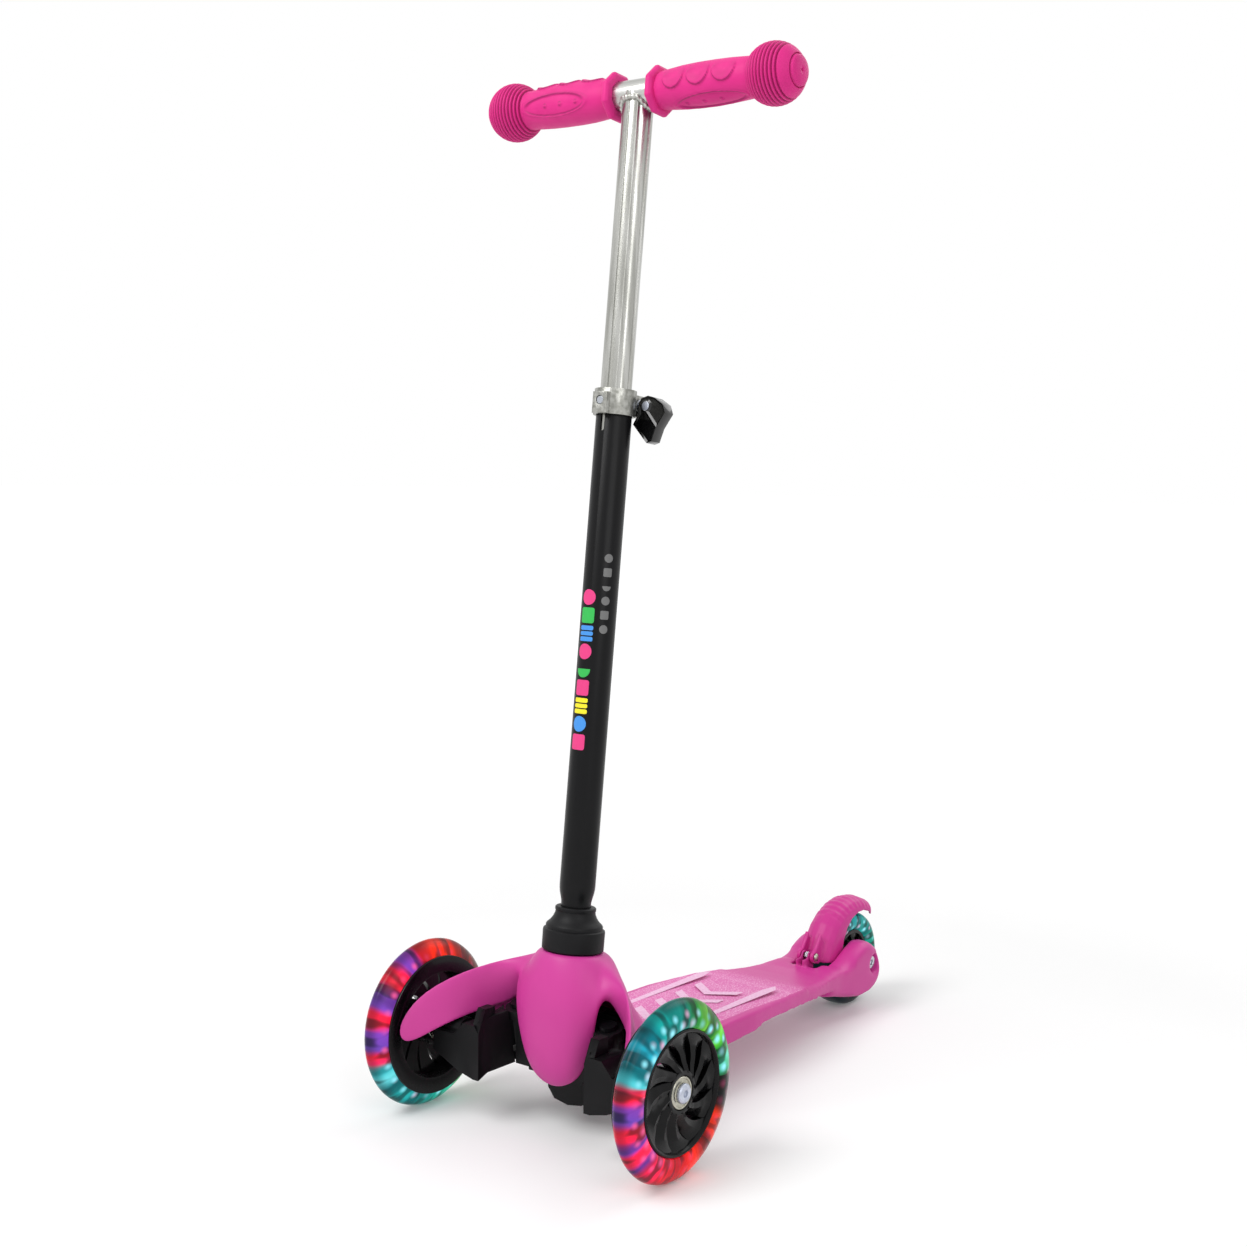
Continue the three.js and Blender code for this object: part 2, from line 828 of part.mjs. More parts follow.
function addFrontSide(parent, suffix) {
  const wheelCentre = group(parent, frontTrackHalf, 0, frontWheel.radius);
  addWheel(wheelCentre, frontWheel, "front_" + suffix);
  const boltEnd = arm.blockFrom - frontTrackHalf + 4 * overrun;
  add(wheelCentre, "axle_bolt_" + suffix, axleBolt(frontWheel.bossOut, boltEnd, frontBolt), "steel");
  add(parent, "steering_arm_" + suffix, steeringArm(), "blackPlastic");
  add(parent, "kingpin_" + suffix, kingpinBolt(), "steel");
  add(parent, "kingpin_nut_" + suffix, kingpinNut(), "steel");
  add(parent, "return_spring_" + suffix, armSpring(), "steel");
  add(parent, "tie_rod_pin_" + suffix, tieRodPin(), "steel");
}

function tieRodPin() {
  const foot = -arm.leverThickness / 2;
  const top = arm.leverThickness / 2 + gap + tieRod.thickness + gap;
  return onKingpin(
    moved(
      turned(
        [
          [foot, 0],
          [foot, tieRod.pinRadius],
          [top, tieRod.pinRadius],
          [top, tieRod.headRadius],
          [top + tieRod.headThickness, tieRod.headRadius],
          [top + tieRod.headThickness, 0],
        ],
        "z",
        12,
      ),
      eyeOut,
      kingpin.leverLength,
      0,
    ),
  );
}

function tieRodBar() {
  const from = arm.leverThickness / 2 + gap;
  const to = from + tieRod.thickness;
  const half = tieRod.width / 2;
  const reach = kingpin.halfSpread + eyeOut;
  const bar = box(
    [-reach, kingpin.leverLength - half, from],
    [reach, kingpin.leverLength + half, to],
  );
  const ends = [-1, 1].map((side) => {
    return moved(rod(half, from, to, "z", 16), side * reach, kingpin.leverLength, 0);
  });
  const bores = [-1, 1].map((side) => {
    const bore = rod(tieRod.pinRadius + tieRod.pinPlay, from - overrun, to + overrun, "z", 12);
    return moved(bore, side * reach, kingpin.leverLength, 0);
  });
  return tilted(cut(join(bar, ...ends), ...bores), kingpinTilt, 0, kingpin.behind, kingpin.height);
}

// Stem frame: z along the stem from the foot of the collar

const stemTilt = -stem.lean * degree;

function onStem(body) {
  return tilted(body, stemTilt, 0, stem.baseY, stem.baseZ);
}

function chassisBody() {
  const block = box(
    [-chassis.blockHalf, chassis.blockFront, chassis.foot],
    [chassis.blockHalf, chassis.blockBack, chassis.top],
  );
  const beams = [chassis.lowBeam, chassis.highBeam].map(({ half, from, to }) => {
    return box([-half, chassis.beamFront, from], [half, chassis.beamBack, to]);
  });
  const shoulder = box(
    [-chassis.shoulderHalf, chassis.blockFront, chassis.shoulderFoot],
    [chassis.shoulderHalf, chassis.shoulderBack, chassis.top],
  );
  const socketBody = onStem(rod(socket.radius, -socket.depth, -gap, "z", socket.segments));
  const lugs = [[-lugEnd, -lugFace], [lugFace, lugEnd]].flatMap(([from, to]) => {
    const eye = rod(kingpin.lugRadius, from, to, "z", 20);
    const root = box([-kingpin.halfSpread * 0.5, -kingpin.lugRadius * 0.8, from], [0, kingpin.lugRadius, to]);
    return bothSides(onKingpin(join(eye, root)));
  });
  const keelWidth = 2 * chassis.keelHalf;
  const keelHeight = chassis.foot + overrun - chassis.keelFoot;
  const keelShares = [[-0.5, 0.35], [-0.34, 0.08], [0, 0], [0.34, 0.08], [0.5, 0.35], [0.5, 1], [-0.5, 1]];
  const keelPoints = shared(keelShares, keelWidth, keelHeight).map(([u, v]) => [u, chassis.keelFoot + v]);
  const keel = prism(outline(keelPoints), chassis.keelFront, chassis.keelBack, "y");
  const tongueTop = deck.top - deck.plate - gap;
  const tongue = box(
    [-chassis.tongueHalf, chassis.blockBack - overrun, chassis.tongueFoot],
    [chassis.tongueHalf, chassis.tongueBack, tongueTop],
  );
  const heel = box(
    [-chassis.keelHalf, chassis.blockBack - 2 * overrun, chassis.tongueFoot - overrun],
    [chassis.keelHalf, chassis.keelBack, tongueTop - overrun],
  );
  const tubeRadius = lowerTube.swageRadius + gap;
  const bore = onStem(rod(tubeRadius, lowerTube.foot - gap, overrun, "z", lowerTube.segments));
  const past = lugEnd + overrun;
  const pinBores = bothSides(onKingpin(rod(kingpin.radius + gap, -past, past, "z", 16)));
  // Room between the lugs for the arms' sleeves, and beyond them for the bolts' heads and nuts
  const rooms = [
    rod(kingpin.sleeveRadius + 4 * gap, -lugFace, lugFace, "z", 20),
    rod(kingpin.lugRadius + gap, lugEnd, lugEnd + 3 * kingpin.headThickness, "z", 20),
    rod(kingpin.headRadius + 2 * gap, -lugEnd - 3 * kingpin.headThickness, -lugEnd, "z", 16),
  ].flatMap((room) => bothSides(onKingpin(room)));
  const holes = deckScrewPlaces().map(([x, y]) => {
    return moved(rod(screw.radius + gap, chassis.tongueFoot - overrun, deck.top, "z", 10), x, y, 0);
  });
  const body = cut(join(block, shoulder, keel, heel, tongue, ...beams, ...lugs), ...rooms);
  return cut(join(body, socketBody), bore, ...pinBores, ...holes);
}

function deckScrewPlaces() {
  const out = chassis.tongueHalf * 0.74;
  const near = chassis.blockBack + screw.headRadius * 4;
  const far = chassis.tongueBack - screw.headRadius * 2;
  return [[-out, near], [out, near], [-out, far], [out, far]];
}

function deckScrew(x, y) {
  const head = chassis.tongueFoot - gap;
  const tip = deck.top - deck.plate / 2;
  return moved(
    turned(
      [
        [head - screw.headThickness, 0],
        [head - screw.headThickness, screw.headRadius],
        [head, screw.headRadius],
        [head, screw.radius],
        [tip - gap, screw.radius],
        [tip - gap, 0],
      ],
      "z",
      12,
    ),
    x,
    y,
    0,
  );
}

// Front cover: three lobes and a rear skirt, each made solid and then hollowed.

// The cover's rim lies square to the stem, just under the collar.
function rimHeight(y, drop) {
  return stem.baseZ - gap - drop - (y - stem.baseY) * Math.tan(stem.lean * degree);
}

// [height, half width, front depth, back depth], as shares of the dome's half width and height
const domeShares = [
  [0.74, 1, 0.94, 1.02],
  [0.78, 1, 0.93, 1.02],
  [0.86, 0.95, 0.9, 0.95],
  [0.93, 0.85, 0.82, 0.83],
  [0.98, 0.74, 0.73, 0.73],
];

function domeBody(inset) {
  const loops = domeShares.map(([height, half, front, back]) => {
    const z = cover.rimHeight * height - (height > 0.9 ? inset : 0);
    const sizes = [half, front, back].map((share) => share * cover.domeHalf - inset);
    return oval(z, stem.baseY, ...sizes);
  });
  const rimRadius = cover.rimRadius - inset;
  const rim = oval(cover.rimHeight, stem.baseY, rimRadius, rimRadius, rimRadius).map((point) => {
    return point.setZ(rimHeight(point.y, inset));
  });
  const foot = loops[0].map((point) => point.clone().setZ(point.z - inset));
  return loft([...(inset ? [foot] : []), ...loops, rim]);
}

// [height, half width, front face ahead of the nose's cut edge], shares of the rim's height,
// the nose's half width and the nose's depth
const noseShares = [
  [0.272, 0.2, 0.2],
  [0.284, 0.42, 0.38],
  [0.325, 0.62, 0.58],
  [0.42, 0.79, 0.8],
  [0.56, 0.9, 0.96],
  [0.7, 0.99, 1.04],
  [0.79, 1, 1.04],
  [0.88, 0.8, 0.9],
];

function noseBody(inset) {
  const depth = cover.noseEdge;
  const points = 9;
  const loops = noseShares.map(([height, half, front], row) => {
    const halfWidth = half * cover.noseHalf - inset;
    const frontDepth = front * depth - inset;
    const back = cover.noseEdge + (inset ? 3 * overrun : gap);
    const lift = row === 0 ? inset : 0;
    const drop = row === noseShares.length - 1 ? inset : 0;
    const z = cover.rimHeight * height + lift - drop;
    const arc = Array.from({ length: points }, (_, i) => {
      const turn = (Math.PI * i) / (points - 1);
      const y = cover.noseEdge - frontDepth * Math.sin(turn) ** 0.8;
      return new THREE.Vector3(-halfWidth * Math.cos(turn), y, z);
    });
    const heel = [halfWidth, -halfWidth].map((x) => new THREE.Vector3(x, back, z));
    return [...arc, ...heel];
  });
  return loft(loops);
}

// Wing stations: [out, behind the axle, crest, foot, half thickness], shares of the tip's reach
// for the first two, of the rim's height for the next two and of the wing's half for the last
const wingShares = [
  [0.2, 0.4, 0.95, 0.76, 1.25],
  [0.42, 0.33, 0.92, 0.7, 1.15],
  [0.62, 0.16, 0.865, 0.635, 1],
  [0.78, -0.07, 0.79, 0.57, 0.9],
  [0.89, -0.225, 0.71, 0.52, 0.8],
  [0.96, -0.345, 0.61, 0.49, 0.6],
  [0.985, -0.4, 0.56, 0.515, 0.32],
];

function wingBody(inset) {
  const stations = inset ? wingShares.slice(0, -1) : wingShares;
  const places = stations.map(([out, behind]) => {
    return new THREE.Vector2(out * cover.wingTipOut, behind * cover.wingTipOut);
  });
  const loops = stations.map(([, , crest, foot, half], i) => {
    const before = places[Math.max(i - 1, 0)];
    const after = places[Math.min(i + 1, places.length - 1)];
    const along = after.clone().sub(before).normalize();
    const across = new THREE.Vector2(-along.y, along.x);
    const halfWidth = Math.max(half * cover.wingHalf - inset, gap);
    const top = crest * cover.rimHeight - inset;
    const bottom = foot * cover.rimHeight - (inset ? 2 * overrun : 0);
    const shoulderShare = 0.72;
    const crestDrop = cover.wingHalf * 0.75;
    const section = [
      [-1, bottom],
      [-1, top - crestDrop],
      [-shoulderShare, top - crestDrop * 0.3],
      [0, top],
      [shoulderShare, top - crestDrop * 0.3],
      [1, top - crestDrop],
      [1, bottom],
    ];
    return section.map(([side, z]) => {
      const place = places[i].clone().addScaledVector(across, side * halfWidth);
      return new THREE.Vector3(place.x, place.y, z);
    });
  });
  return loft(loops);
}

// Rear skirt: [height, half width, front, back], shares of the rim's height, the skirt's half
// width and the skirt's back
const rearShares = [
  [0.452, 1, 0.6, 1],
  [0.53, 0.98, 0.56, 0.98],
  [0.62, 0.86, 0.5, 0.92],
  [0.74, 0.66, 0.42, 0.86],
  [0.86, 0.54, 0.38, 0.78],
];

function rearBody(inset) {
  const foot = deck.top + gap;
  const loops = rearShares.map(([height, half, front, back], row) => {
    const z = row === 0 ? foot - (inset ? overrun : 0) : cover.rimHeight * height;
    const halfWidth = half * cover.rearHalf - inset;
    const rearY = back * cover.rearBack - inset;
    const frontY = front * cover.rearBack - (inset ? 2 * overrun : 0);
    const corner = halfWidth * 0.35;
    return [
      [-halfWidth, frontY],
      [halfWidth, frontY],
      [halfWidth, rearY - corner * 1.4],
      [halfWidth - corner * 0.3, rearY - corner * 0.5],
      [halfWidth - corner, rearY],
      [-halfWidth + corner, rearY],
      [-halfWidth + corner * 0.3, rearY - corner * 0.5],
      [-halfWidth, rearY - corner * 1.4],
    ].map(([x, y]) => new THREE.Vector3(x, y, z));
  });
  return loft(loops);
}

function coverBlock(inset) {
  const wing = wingBody(inset);
  return join(domeBody(inset), noseBody(inset), rearBody(inset), wing, wing.mirror([1, 0, 0]));
}

function coverScrewPlaces() {
  const out = cover.rearHalf - cover.wall - screw.headRadius * 2.2;
  return [-1, 1].map((side) => [side * out, (deck.front + cover.rearBack) / 2]);
}

function frontCover() {
  const hole = onStem(rod(socket.radius + 2 * gap, -cover.rimHeight / 3, overrun, "z", socket.segments));
  const shell = cut(coverBlock(0), coverBlock(cover.wall), hole);
  const bossFoot = deck.top + gap;
  const bossTop = bossFoot + screw.headRadius * 1.6;
  const bosses = coverScrewPlaces().map(([x, y]) => {
    const post = moved(rod(screw.headRadius, bossFoot, bossTop, "z", 12), x, y, 0);
    const reach = Math.sign(x) * (cover.rearHalf - cover.wall / 2);
    const ribHalf = screw.radius * 0.6;
    const rib = box(
      [Math.min(x, reach), y - ribHalf, bossFoot],
      [Math.max(x, reach), y + ribHalf, bossTop - overrun],
    );
    return join(post, rib);
  });
  const bores = coverScrewPlaces().map(([x, y]) => {
    return moved(rod(screw.radius + gap, bossFoot - overrun, bossTop - 2 * gap, "z", 10), x, y, 0);
  });
  return cut(join(shell, ...bosses), ...bores);
}

function coverScrew(x, y) {
  const head = deck.top - deck.plate - gap;
  const tip = deck.top + gap + screw.headRadius;
  return moved(
    turned(
      [
        [head - screw.headThickness, 0],
        [head - screw.headThickness, screw.headRadius],
        [head, screw.headRadius],
        [head, screw.radius],
        [tip, screw.radius],
        [tip, 0],
      ],
      "z",
      12,
    ),
    x,
    y,
    0,
  );
}

// Deck: [along its length, half width, top, skirt depth], shares of its length and sizes
const deckShares = [
  [0, 0.92, 1, 0.94],
  [0.08, 0.965, 1, 0.98],
  [0.2, 1, 1, 1],
  [0.34, 1, 1, 1],
  [0.46, 0.99, 0.99, 0.94],
  [0.51, 0.97, 0.98, 0.71],
  [0.65, 0.9, 0.945, 0.71],
  [0.77, 0.81, 0.885, 0.68],
  [0.84, 0.75, 0.845, 0.69],
  [0.92, 0.67, 0.822, 0.8],
  [1, 0.62, 0.848, 1.03],
];

function deckBody() {
  const length = deckBack - deck.front;
  const shell = deckShares.map(([along, half, top, skirt]) => {
    const y = deck.front + along * length;
    const halfWidth = half * deck.halfWidth;
    const height = top * deck.top;
    const foot = height - skirt * deck.skirt;
    const inside = halfWidth - deck.skirtWall;
    const round = deck.plate / 2;
    return [
      [-halfWidth, foot],
      [-halfWidth, height - round],
      [-halfWidth + round, height],
      [halfWidth - round, height],
      [halfWidth, height - round],
      [halfWidth, foot],
      [inside, foot],
      [inside, height - deck.plate],
      [-inside, height - deck.plate],
      [-inside, foot],
    ].map(([x, z]) => new THREE.Vector3(x, y, z));
  });
  return loft(shell);
}

// The plate falls towards the fender from a share of the deck's length on, down to a share of
// its height at the fender's slot.
const fallFromShare = 0.46;
const slotTopShare = 0.822;

// Ribs under the deck's plate, one along each side and three across
function deckRibs() {
  const from = chassis.tongueBack + overrun;
  const to = slotFront - 2 * overrun;
  const height = deck.skirt * 0.5;
  const top = deck.top * 0.9;
  const out = deck.halfWidth * 0.38;
  const half = deck.ribThickness / 2;
  const fall = deck.top * (1 - slotTopShare);
  const along = (y) => (y - deck.front) / (deckBack - deck.front);
  const slope = (y) => (-fall * Math.max(0, along(y) - fallFromShare)) / fallFromShare;
  const stations = [from, (from + to) / 2, to];
  const sides = [-1, 1].map((side) => {
    return loft(
      stations.map((y) => {
        const high = top + slope(y);
        return [
          [side * out - half, high - height],
          [side * out + half, high - height],
          [side * out + half, high],
          [side * out - half, high],
        ].map(([x, z]) => new THREE.Vector3(x, y, z));
      }),
    );
  });
  const acrossShares = [0.25, 0.5, 0.75];
  const across = acrossShares.map((share) => {
    const y = from + share * (to - from);
    const reach = deck.halfWidth * (1.02 - share * 0.32) - deck.skirtWall;
    const high = top + slope(y);
    return box([-reach, y - half, high - height * 0.8], [reach, y + half, high]);
  });
  return join(...sides, ...across);
}

// Ear outline seen from the side, shares of the ear's length and height, tail end at 0
const earShares = [
  [0, 0.42],
  [0.02, 0.62],
  [0.09, 0.84],
  [0.2, 0.97],
  [0.32, 1],
  [0.46, 0.9],
  [0.62, 0.74],
  [0.82, 0.64],
  [1, 0.6],
  [1, 0.26],
  [0.8, 0.18],
  [0.6, 0.08],
  [0.4, 0],
  [0.22, 0.02],
  [0.08, 0.12],
  [0.02, 0.25],
];

function earBody() {
  const tail = wheelbase + ear.behindAxle;
  const foot = rearWheel.radius - ear.height * 0.55;
  const middle = [tail - ear.length * 0.42, foot + ear.height * 0.45];
  const points = shared(earShares, -ear.length, ear.height).map(([u, v]) => [tail + u, foot + v]);
  const section = (x, share) => {
    return points.map(([y, z]) => {
      return new THREE.Vector3(x, middle[0] + (y - middle[0]) * share, middle[1] + (z - middle[1]) * share);
    });
  };
  const shoulder = (ear.crest + ear.outer) / 2;
  const places = [[ear.inner, 1], [ear.crest, 1], [shoulder, 0.95], [ear.outer, 0.82]];
  return loft(places.map(([x, share]) => section(x, share)));
}

function deckMoulding() {
  const axleY = wheelbase;
  const axleZ = rearWheel.radius;
  const rightEar = earBody();
  const bossFace = rearWheel.bossOut + gap;
  const bosses = [-1, 1].map((side) => {
    const span = [side * bossFace, side * (ear.inner + overrun)].sort((a, b) => a - b);
    return moved(rod(axleRadius * 1.8, ...span, "x", 16), 0, axleY, axleZ);
  });
  const lugInner = fender.cheekOuter / 2 - fender.lugWall;
  const lugs = [-1, 1].map((side) => {
    const span = [side * lugInner, side * (lugInner + fender.lugWall)].sort((a, b) => a - b);
    const pinY = wheelbase - fender.pinAhead;
    const pinZ = axleZ + fender.pinAbove;
    const eye = moved(rod(fender.barrelRadius, ...span, "x", 14), 0, pinY, pinZ);
    const foot = box(
      [span[0], slotFront - 2 * overrun, deck.top * slotTopShare - deck.plate],
      [span[1], pinY + fender.barrelRadius * 0.8, pinZ],
    );
    return join(eye, foot);
  });
  const wellHalf = ear.inner;
  const high = rearWheel.radius * 3;
  const well = box([-wellHalf, wellFront, 0], [wellHalf, axleY + rearWheel.radius, high]);
  const slot = box([-deck.slotHalf, slotFront, 0], [deck.slotHalf, axleY, high]);
  const pinBore = moved(
    rod(fender.pinRadius + gap, -deck.slotHalf, deck.slotHalf, "x", 12),
    0,
    wheelbase - fender.pinAhead,
    axleZ + fender.pinAbove,
  );
  const past = ear.outer + overrun;
  const axleBore = moved(rod(axleRadius + gap, -past, past, "x", 16), 0, axleY, axleZ);
  const pockets = [-1, 1].map((side) => {
    const span = [side * ear.pocketFrom, side * (ear.outer + overrun)].sort((a, b) => a - b);
    return moved(rod(ear.pocketRadius, ...span, "x", 16), 0, axleY, axleZ);
  });
  const plateTop = deck.top - deck.plate / 2;
  const holes = deckScrewPlaces().map(([x, y]) => {
    return moved(rod(screw.radius + gap, chassis.tongueFoot, plateTop, "z", 10), x, y, 0);
  });
  const coverHoles = coverScrewPlaces().map(([x, y]) => {
    return moved(rod(screw.radius + gap, chassis.tongueFoot, deck.top + overrun, "z", 10), x, y, 0);
  });
  const body = cut(join(deckBody(), deckRibs(), rightEar, rightEar.mirror([1, 0, 0])), well, slot);
  return cut(join(body, ...bosses, ...lugs), pinBore, axleBore, ...pockets, ...holes, ...coverHoles);
}

// Rear brake fender, made round the rear axle

// [angle from tail to foot, crown, skirt], shares of the fender's sweep and of its crown
const fenderShares = [
  [0, 0.78, 0],
  [0.1, 0.8, 0],
  [0.22, 0.84, 0.02],
  [0.34, 0.9, 0.04],
  [0.46, 1, 0.1],
  [0.58, 1, 0.34],
  [0.7, 1, 0.62],
  [0.82, 1, 0.85],
  [0.92, 1, 0.85],
  [1, 1, 0.5],
];

function fenderBody() {
  const steps = 8;
  const loops = fenderShares.map(([share, crownShare, skirt], row) => {
    const angle = (fender.tailAngle + share * (fender.footAngle - fender.tailAngle)) * degree;
    const tongue = row === 0 ? 0.72 : 1;
    const crown = crownShare * fender.crown;
    const rail = (half, radius, rise) => {
      return Array.from({ length: steps + 1 }, (_, i) => {
        const turn = (Math.PI * i) / steps;
        return [-half * Math.cos(turn), radius - crown + rise * Math.sin(turn)];
      });
    };
    const low = fender.radius - crown - skirt * fender.crown - gap;
    const outerHalf = fender.half * tongue;
    const innerHalf = (fender.half - fender.wall) * tongue;
    const outer = rail(outerHalf, fender.radius, crown);
    const inner = rail(innerHalf, fender.radius, crown - fender.wall);
    const section = [
      [-outerHalf, low],
      ...outer,
      [outerHalf, low],
      [innerHalf, low],
      ...inner.reverse(),
      [-innerHalf, low],
    ];
    return section.map(([x, radius]) => {
      return new THREE.Vector3(x, radius * Math.cos(angle), radius * Math.sin(angle));
    });
  });
  const shell = loft(loops);
  const cheekInner = fender.cheekOuter / 2 + gap;
  const reachShares = [
    [-1, 0.34],
    [-0.83, 0.6],
    [-0.8, 0.36],
    [-0.89, 0.12],
    [-1, 0.15],
  ];
  const cheekPoints = shared(reachShares, fender.pinAhead, fender.radius);
  const cheeks = [-1, 1].map((side) => {
    const span = [side * cheekInner, side * fender.cheekOuter].sort((a, b) => a - b);
    const plate = prism(outline(cheekPoints), ...span, "x");
    const barrel = moved(rod(fender.barrelRadius, ...span, "x", 14), 0, -fender.pinAhead, fender.pinAbove);
    return join(plate, barrel);
  });
  const bore = rod(fender.pinRadius + gap, -fender.half, fender.half, "x", 12);
  return cut(join(shell, ...cheeks), moved(bore, 0, -fender.pinAhead, fender.pinAbove));
}

function brakePin() {
  const face = fender.cheekOuter + gap;
  const headThickness = fender.pinHead * 0.5;
  return moved(
    turned(
      [
        [-face, 0],
        [-face, fender.pinRadius],
        [face, fender.pinRadius],
        [face, fender.pinHead],
        [face + headThickness * 0.5, fender.pinHead],
        [face + headThickness, fender.pinHead * 0.5],
        [face + headThickness, 0],
      ],
      "x",
      12,
    ),
    0,
    -fender.pinAhead,
    fender.pinAbove,
  );
}

function brakeCoil() {
  const wound = coil(brakeSpring, "x");
  const width = brakeSpring.curls * brakeSpring.pitch;
  return moved(wound, -width / 2, -fender.pinAhead, fender.pinAbove);
}

// Stem pieces, in the stem frame

function stemCollar() {
  const bore = lowerTube.swageRadius + gap;
  const top = gap + collar.ringHeight + collar.coneHeight;
  return turned(
    [
      [gap, bore],
      [gap, collar.ringRadius],
      [gap + collar.ringHeight, collar.ringRadius],
      [gap + collar.ringHeight, collar.coneFoot],
      [gap + collar.ringHeight + collar.coneHeight * 0.25, collar.coneMiddle],
      [top - collar.coneHeight * 0.12, collar.coneTop],
      [top, collar.coneTop - gap],
      [top, bore],
      [gap, bore],
    ],
    "z",
    24,
  );
}

function lowerStemTube() {
  const inner = lowerTube.radius - lowerTube.wall;
  const swageInner = lowerTube.swageRadius - lowerTube.wall;
  const tube = turned(
    [
      [lowerTube.foot, swageInner],
      [lowerTube.foot, lowerTube.swageRadius],
      [lowerTube.swageFrom, lowerTube.swageRadius],
      [lowerTube.swageTo, lowerTube.radius],
      [lowerTube.top, lowerTube.radius],
      [lowerTube.top, inner],
      [lowerTube.swageTo, inner],
      [lowerTube.swageFrom, swageInner],
      [lowerTube.foot, swageInner],
    ],
    "z",
    lowerTube.segments,
  );
  const half = lowerTube.slotWidth / 2;
  const slot = box(
    [-half, -lowerTube.radius - overrun, lowerTube.slotFoot],
    [half, -inner / 2, lowerTube.top + overrun],
  );
  return cut(tube, slot);
}

const boltHeight = clamp.foot + clamp.height / 2;

function heightClamp() {
  const top = clamp.foot + clamp.height;
  const lipInner = upperRadius + gap;
  const tubeSeat = lowerTube.radius + gap;
  const lipFoot = lowerTube.top + gap;
  const body = turned(
    [
      [clamp.foot, tubeSeat],
      [clamp.foot, clampRadius],
      [top, clampRadius],
      [top, lipInner],
      [lipFoot, lipInner],
      [lipFoot, tubeSeat],
      [clamp.foot, tubeSeat],
    ],
    "z",
    lowerTube.segments,
  );
  const block = box(
    [-clamp.blockHalf, -blockFront, clamp.foot],
    [clamp.blockHalf, -tubeSeat - gap, top - clamp.lipHeight],
  );
  const earHalf = clamp.slitWidth / 2 + clamp.earThickness;
  const earFoot = boltHeight - clamp.earHeight / 2;
  const ears = box([-earHalf, tubeSeat - gap, earFoot], [earHalf, earBack, earFoot + clamp.earHeight]);
  const bore = rod(tubeSeat, clamp.foot - overrun, lipFoot, "z", lowerTube.segments);
  const lipBore = rod(lipInner, clamp.foot, top + overrun, "z", lowerTube.segments);
  const half = clamp.slitWidth / 2;
  const slit = box([-half, 0, clamp.foot - overrun], [half, earBack + overrun, top + overrun]);
  const boltRod = rod(clamp.boltRadius + gap, -earHalf - overrun, earHalf + overrun, "x", 12);
  const boltBore = moved(boltRod, 0, boltBehind, boltHeight);
  const screwRod = rod(clamp.screwRadius + gap, -blockFront - overrun, -tubeSeat + overrun, "y", 12);
  const screwBore = moved(screwRod, 0, 0, boltHeight);
  return cut(join(body, block, ears), bore, lipBore, slit, boltBore, screwBore);
}

function guideScrew() {
  const seat = lowerTube.radius + 2 * gap;
  const tip = lowerTube.radius - lowerTube.wall + gap;
  return moved(
    turned(
      [
        [-blockFront + gap, 0],
        [-blockFront + gap, clamp.screwRadius],
        [-seat, clamp.screwRadius],
        [-seat, clamp.screwTipRadius],
        [-tip, clamp.screwTipRadius],
        [-tip, 0],
      ],
      "y",
      12,
    ),
    0,
    0,
    boltHeight,
  );
}

const earOut = clamp.slitWidth / 2 + clamp.earThickness;

function clampBolt() {
  const end = -earOut - 2 * gap - clamp.nutThickness;
  const tip = lever.pivotOut - lever.barrelRadius - gap;
  return moved(rod(clamp.boltRadius, end, tip, "x", 12), 0, boltBehind, boltHeight);
}

function clampNut() {
  const face = -earOut - gap;
  const nut = ring(clamp.boltRadius + gap, clamp.nutRadius, face - clamp.nutThickness, face, "x", 6);
  return moved(nut, 0, boltBehind, boltHeight);
}

function camWasher() {
  const from = earOut + gap;
  const to = from + clamp.washerThickness;
  const washer = ring(clamp.boltRadius + gap, clamp.washerRadius, from, to, "x", 16);
  return moved(washer, 0, boltBehind, boltHeight);
}

// Lever outline round its pivot, shares of the lever's reach and tail drop
const leverShares = [
  [-0.36, 0.02],
  [-0.3, -0.2],
  [-0.54, -0.5],
  [0.2, -1],
  [0.44, -0.95],
  [0.62, -0.58],
  [1, -0.19],
  [0.86, 0.04],
  [0.42, 0.22],
  [0.1, 0.27],
  [-0.22, 0.2],
];

function quickLever() {
  const half = lever.width / 2;
  const points = shared(leverShares, lever.reach, lever.tailDrop);
  const body = prism(outline(points), -half, half, "y");
  const room = lever.barrelRadius + 2 * clamp.boltRadius;
  const notch = join(
    rod(room, -lever.webWidth, lever.webWidth, "y", 16),
    box([-lever.reach, -lever.webWidth, -room], [0, lever.webWidth, lever.tailDrop]),
  );
  const bore = rod(lever.barrelRadius + gap, -half - overrun, half + overrun, "y", 16);
  return moved(cut(body, notch, bore), lever.pivotOut, boltBehind, boltHeight);
}

function barrelPin() {
  const half = lever.width / 2;
  return moved(rod(lever.barrelRadius, -half, half, "y", 16), lever.pivotOut, boltBehind, boltHeight);
}

function upperStemTube() {
  const from = lowerTube.top - upperTube.insertion;
  const to = stem.barHeight;
  const pointsPerFlute = 4;
  const count = upperTube.fluteCount * pointsPerFlute;
  const shape = new THREE.Shape(
    Array.from({ length: count }, (_, i) => {
      const turn = (2 * Math.PI * (i + 0.5)) / count;
      const inFlute = i % pointsPerFlute === 0;
      const radius = upperRadius - (inFlute ? upperTube.fluteDepth : 0);
      return new THREE.Vector2(radius * Math.cos(turn), radius * Math.sin(turn));
    }),
  );
  const tube = prism(shape, from, to, "z");
  const inner = upperRadius - upperTube.wall - upperTube.fluteDepth / 2;
  const bore = rod(inner, from - overrun, to + overrun, "z", 20);
  return cut(tube, bore, barRoom());
}

// The handlebar tube's space, with a gap round it
function barRoom() {
  const reach = handlebar.halfLength;
  return moved(rod(handlebar.radius + gap, -reach, reach, "x", handlebar.segments), 0, 0, stem.barHeight);
}

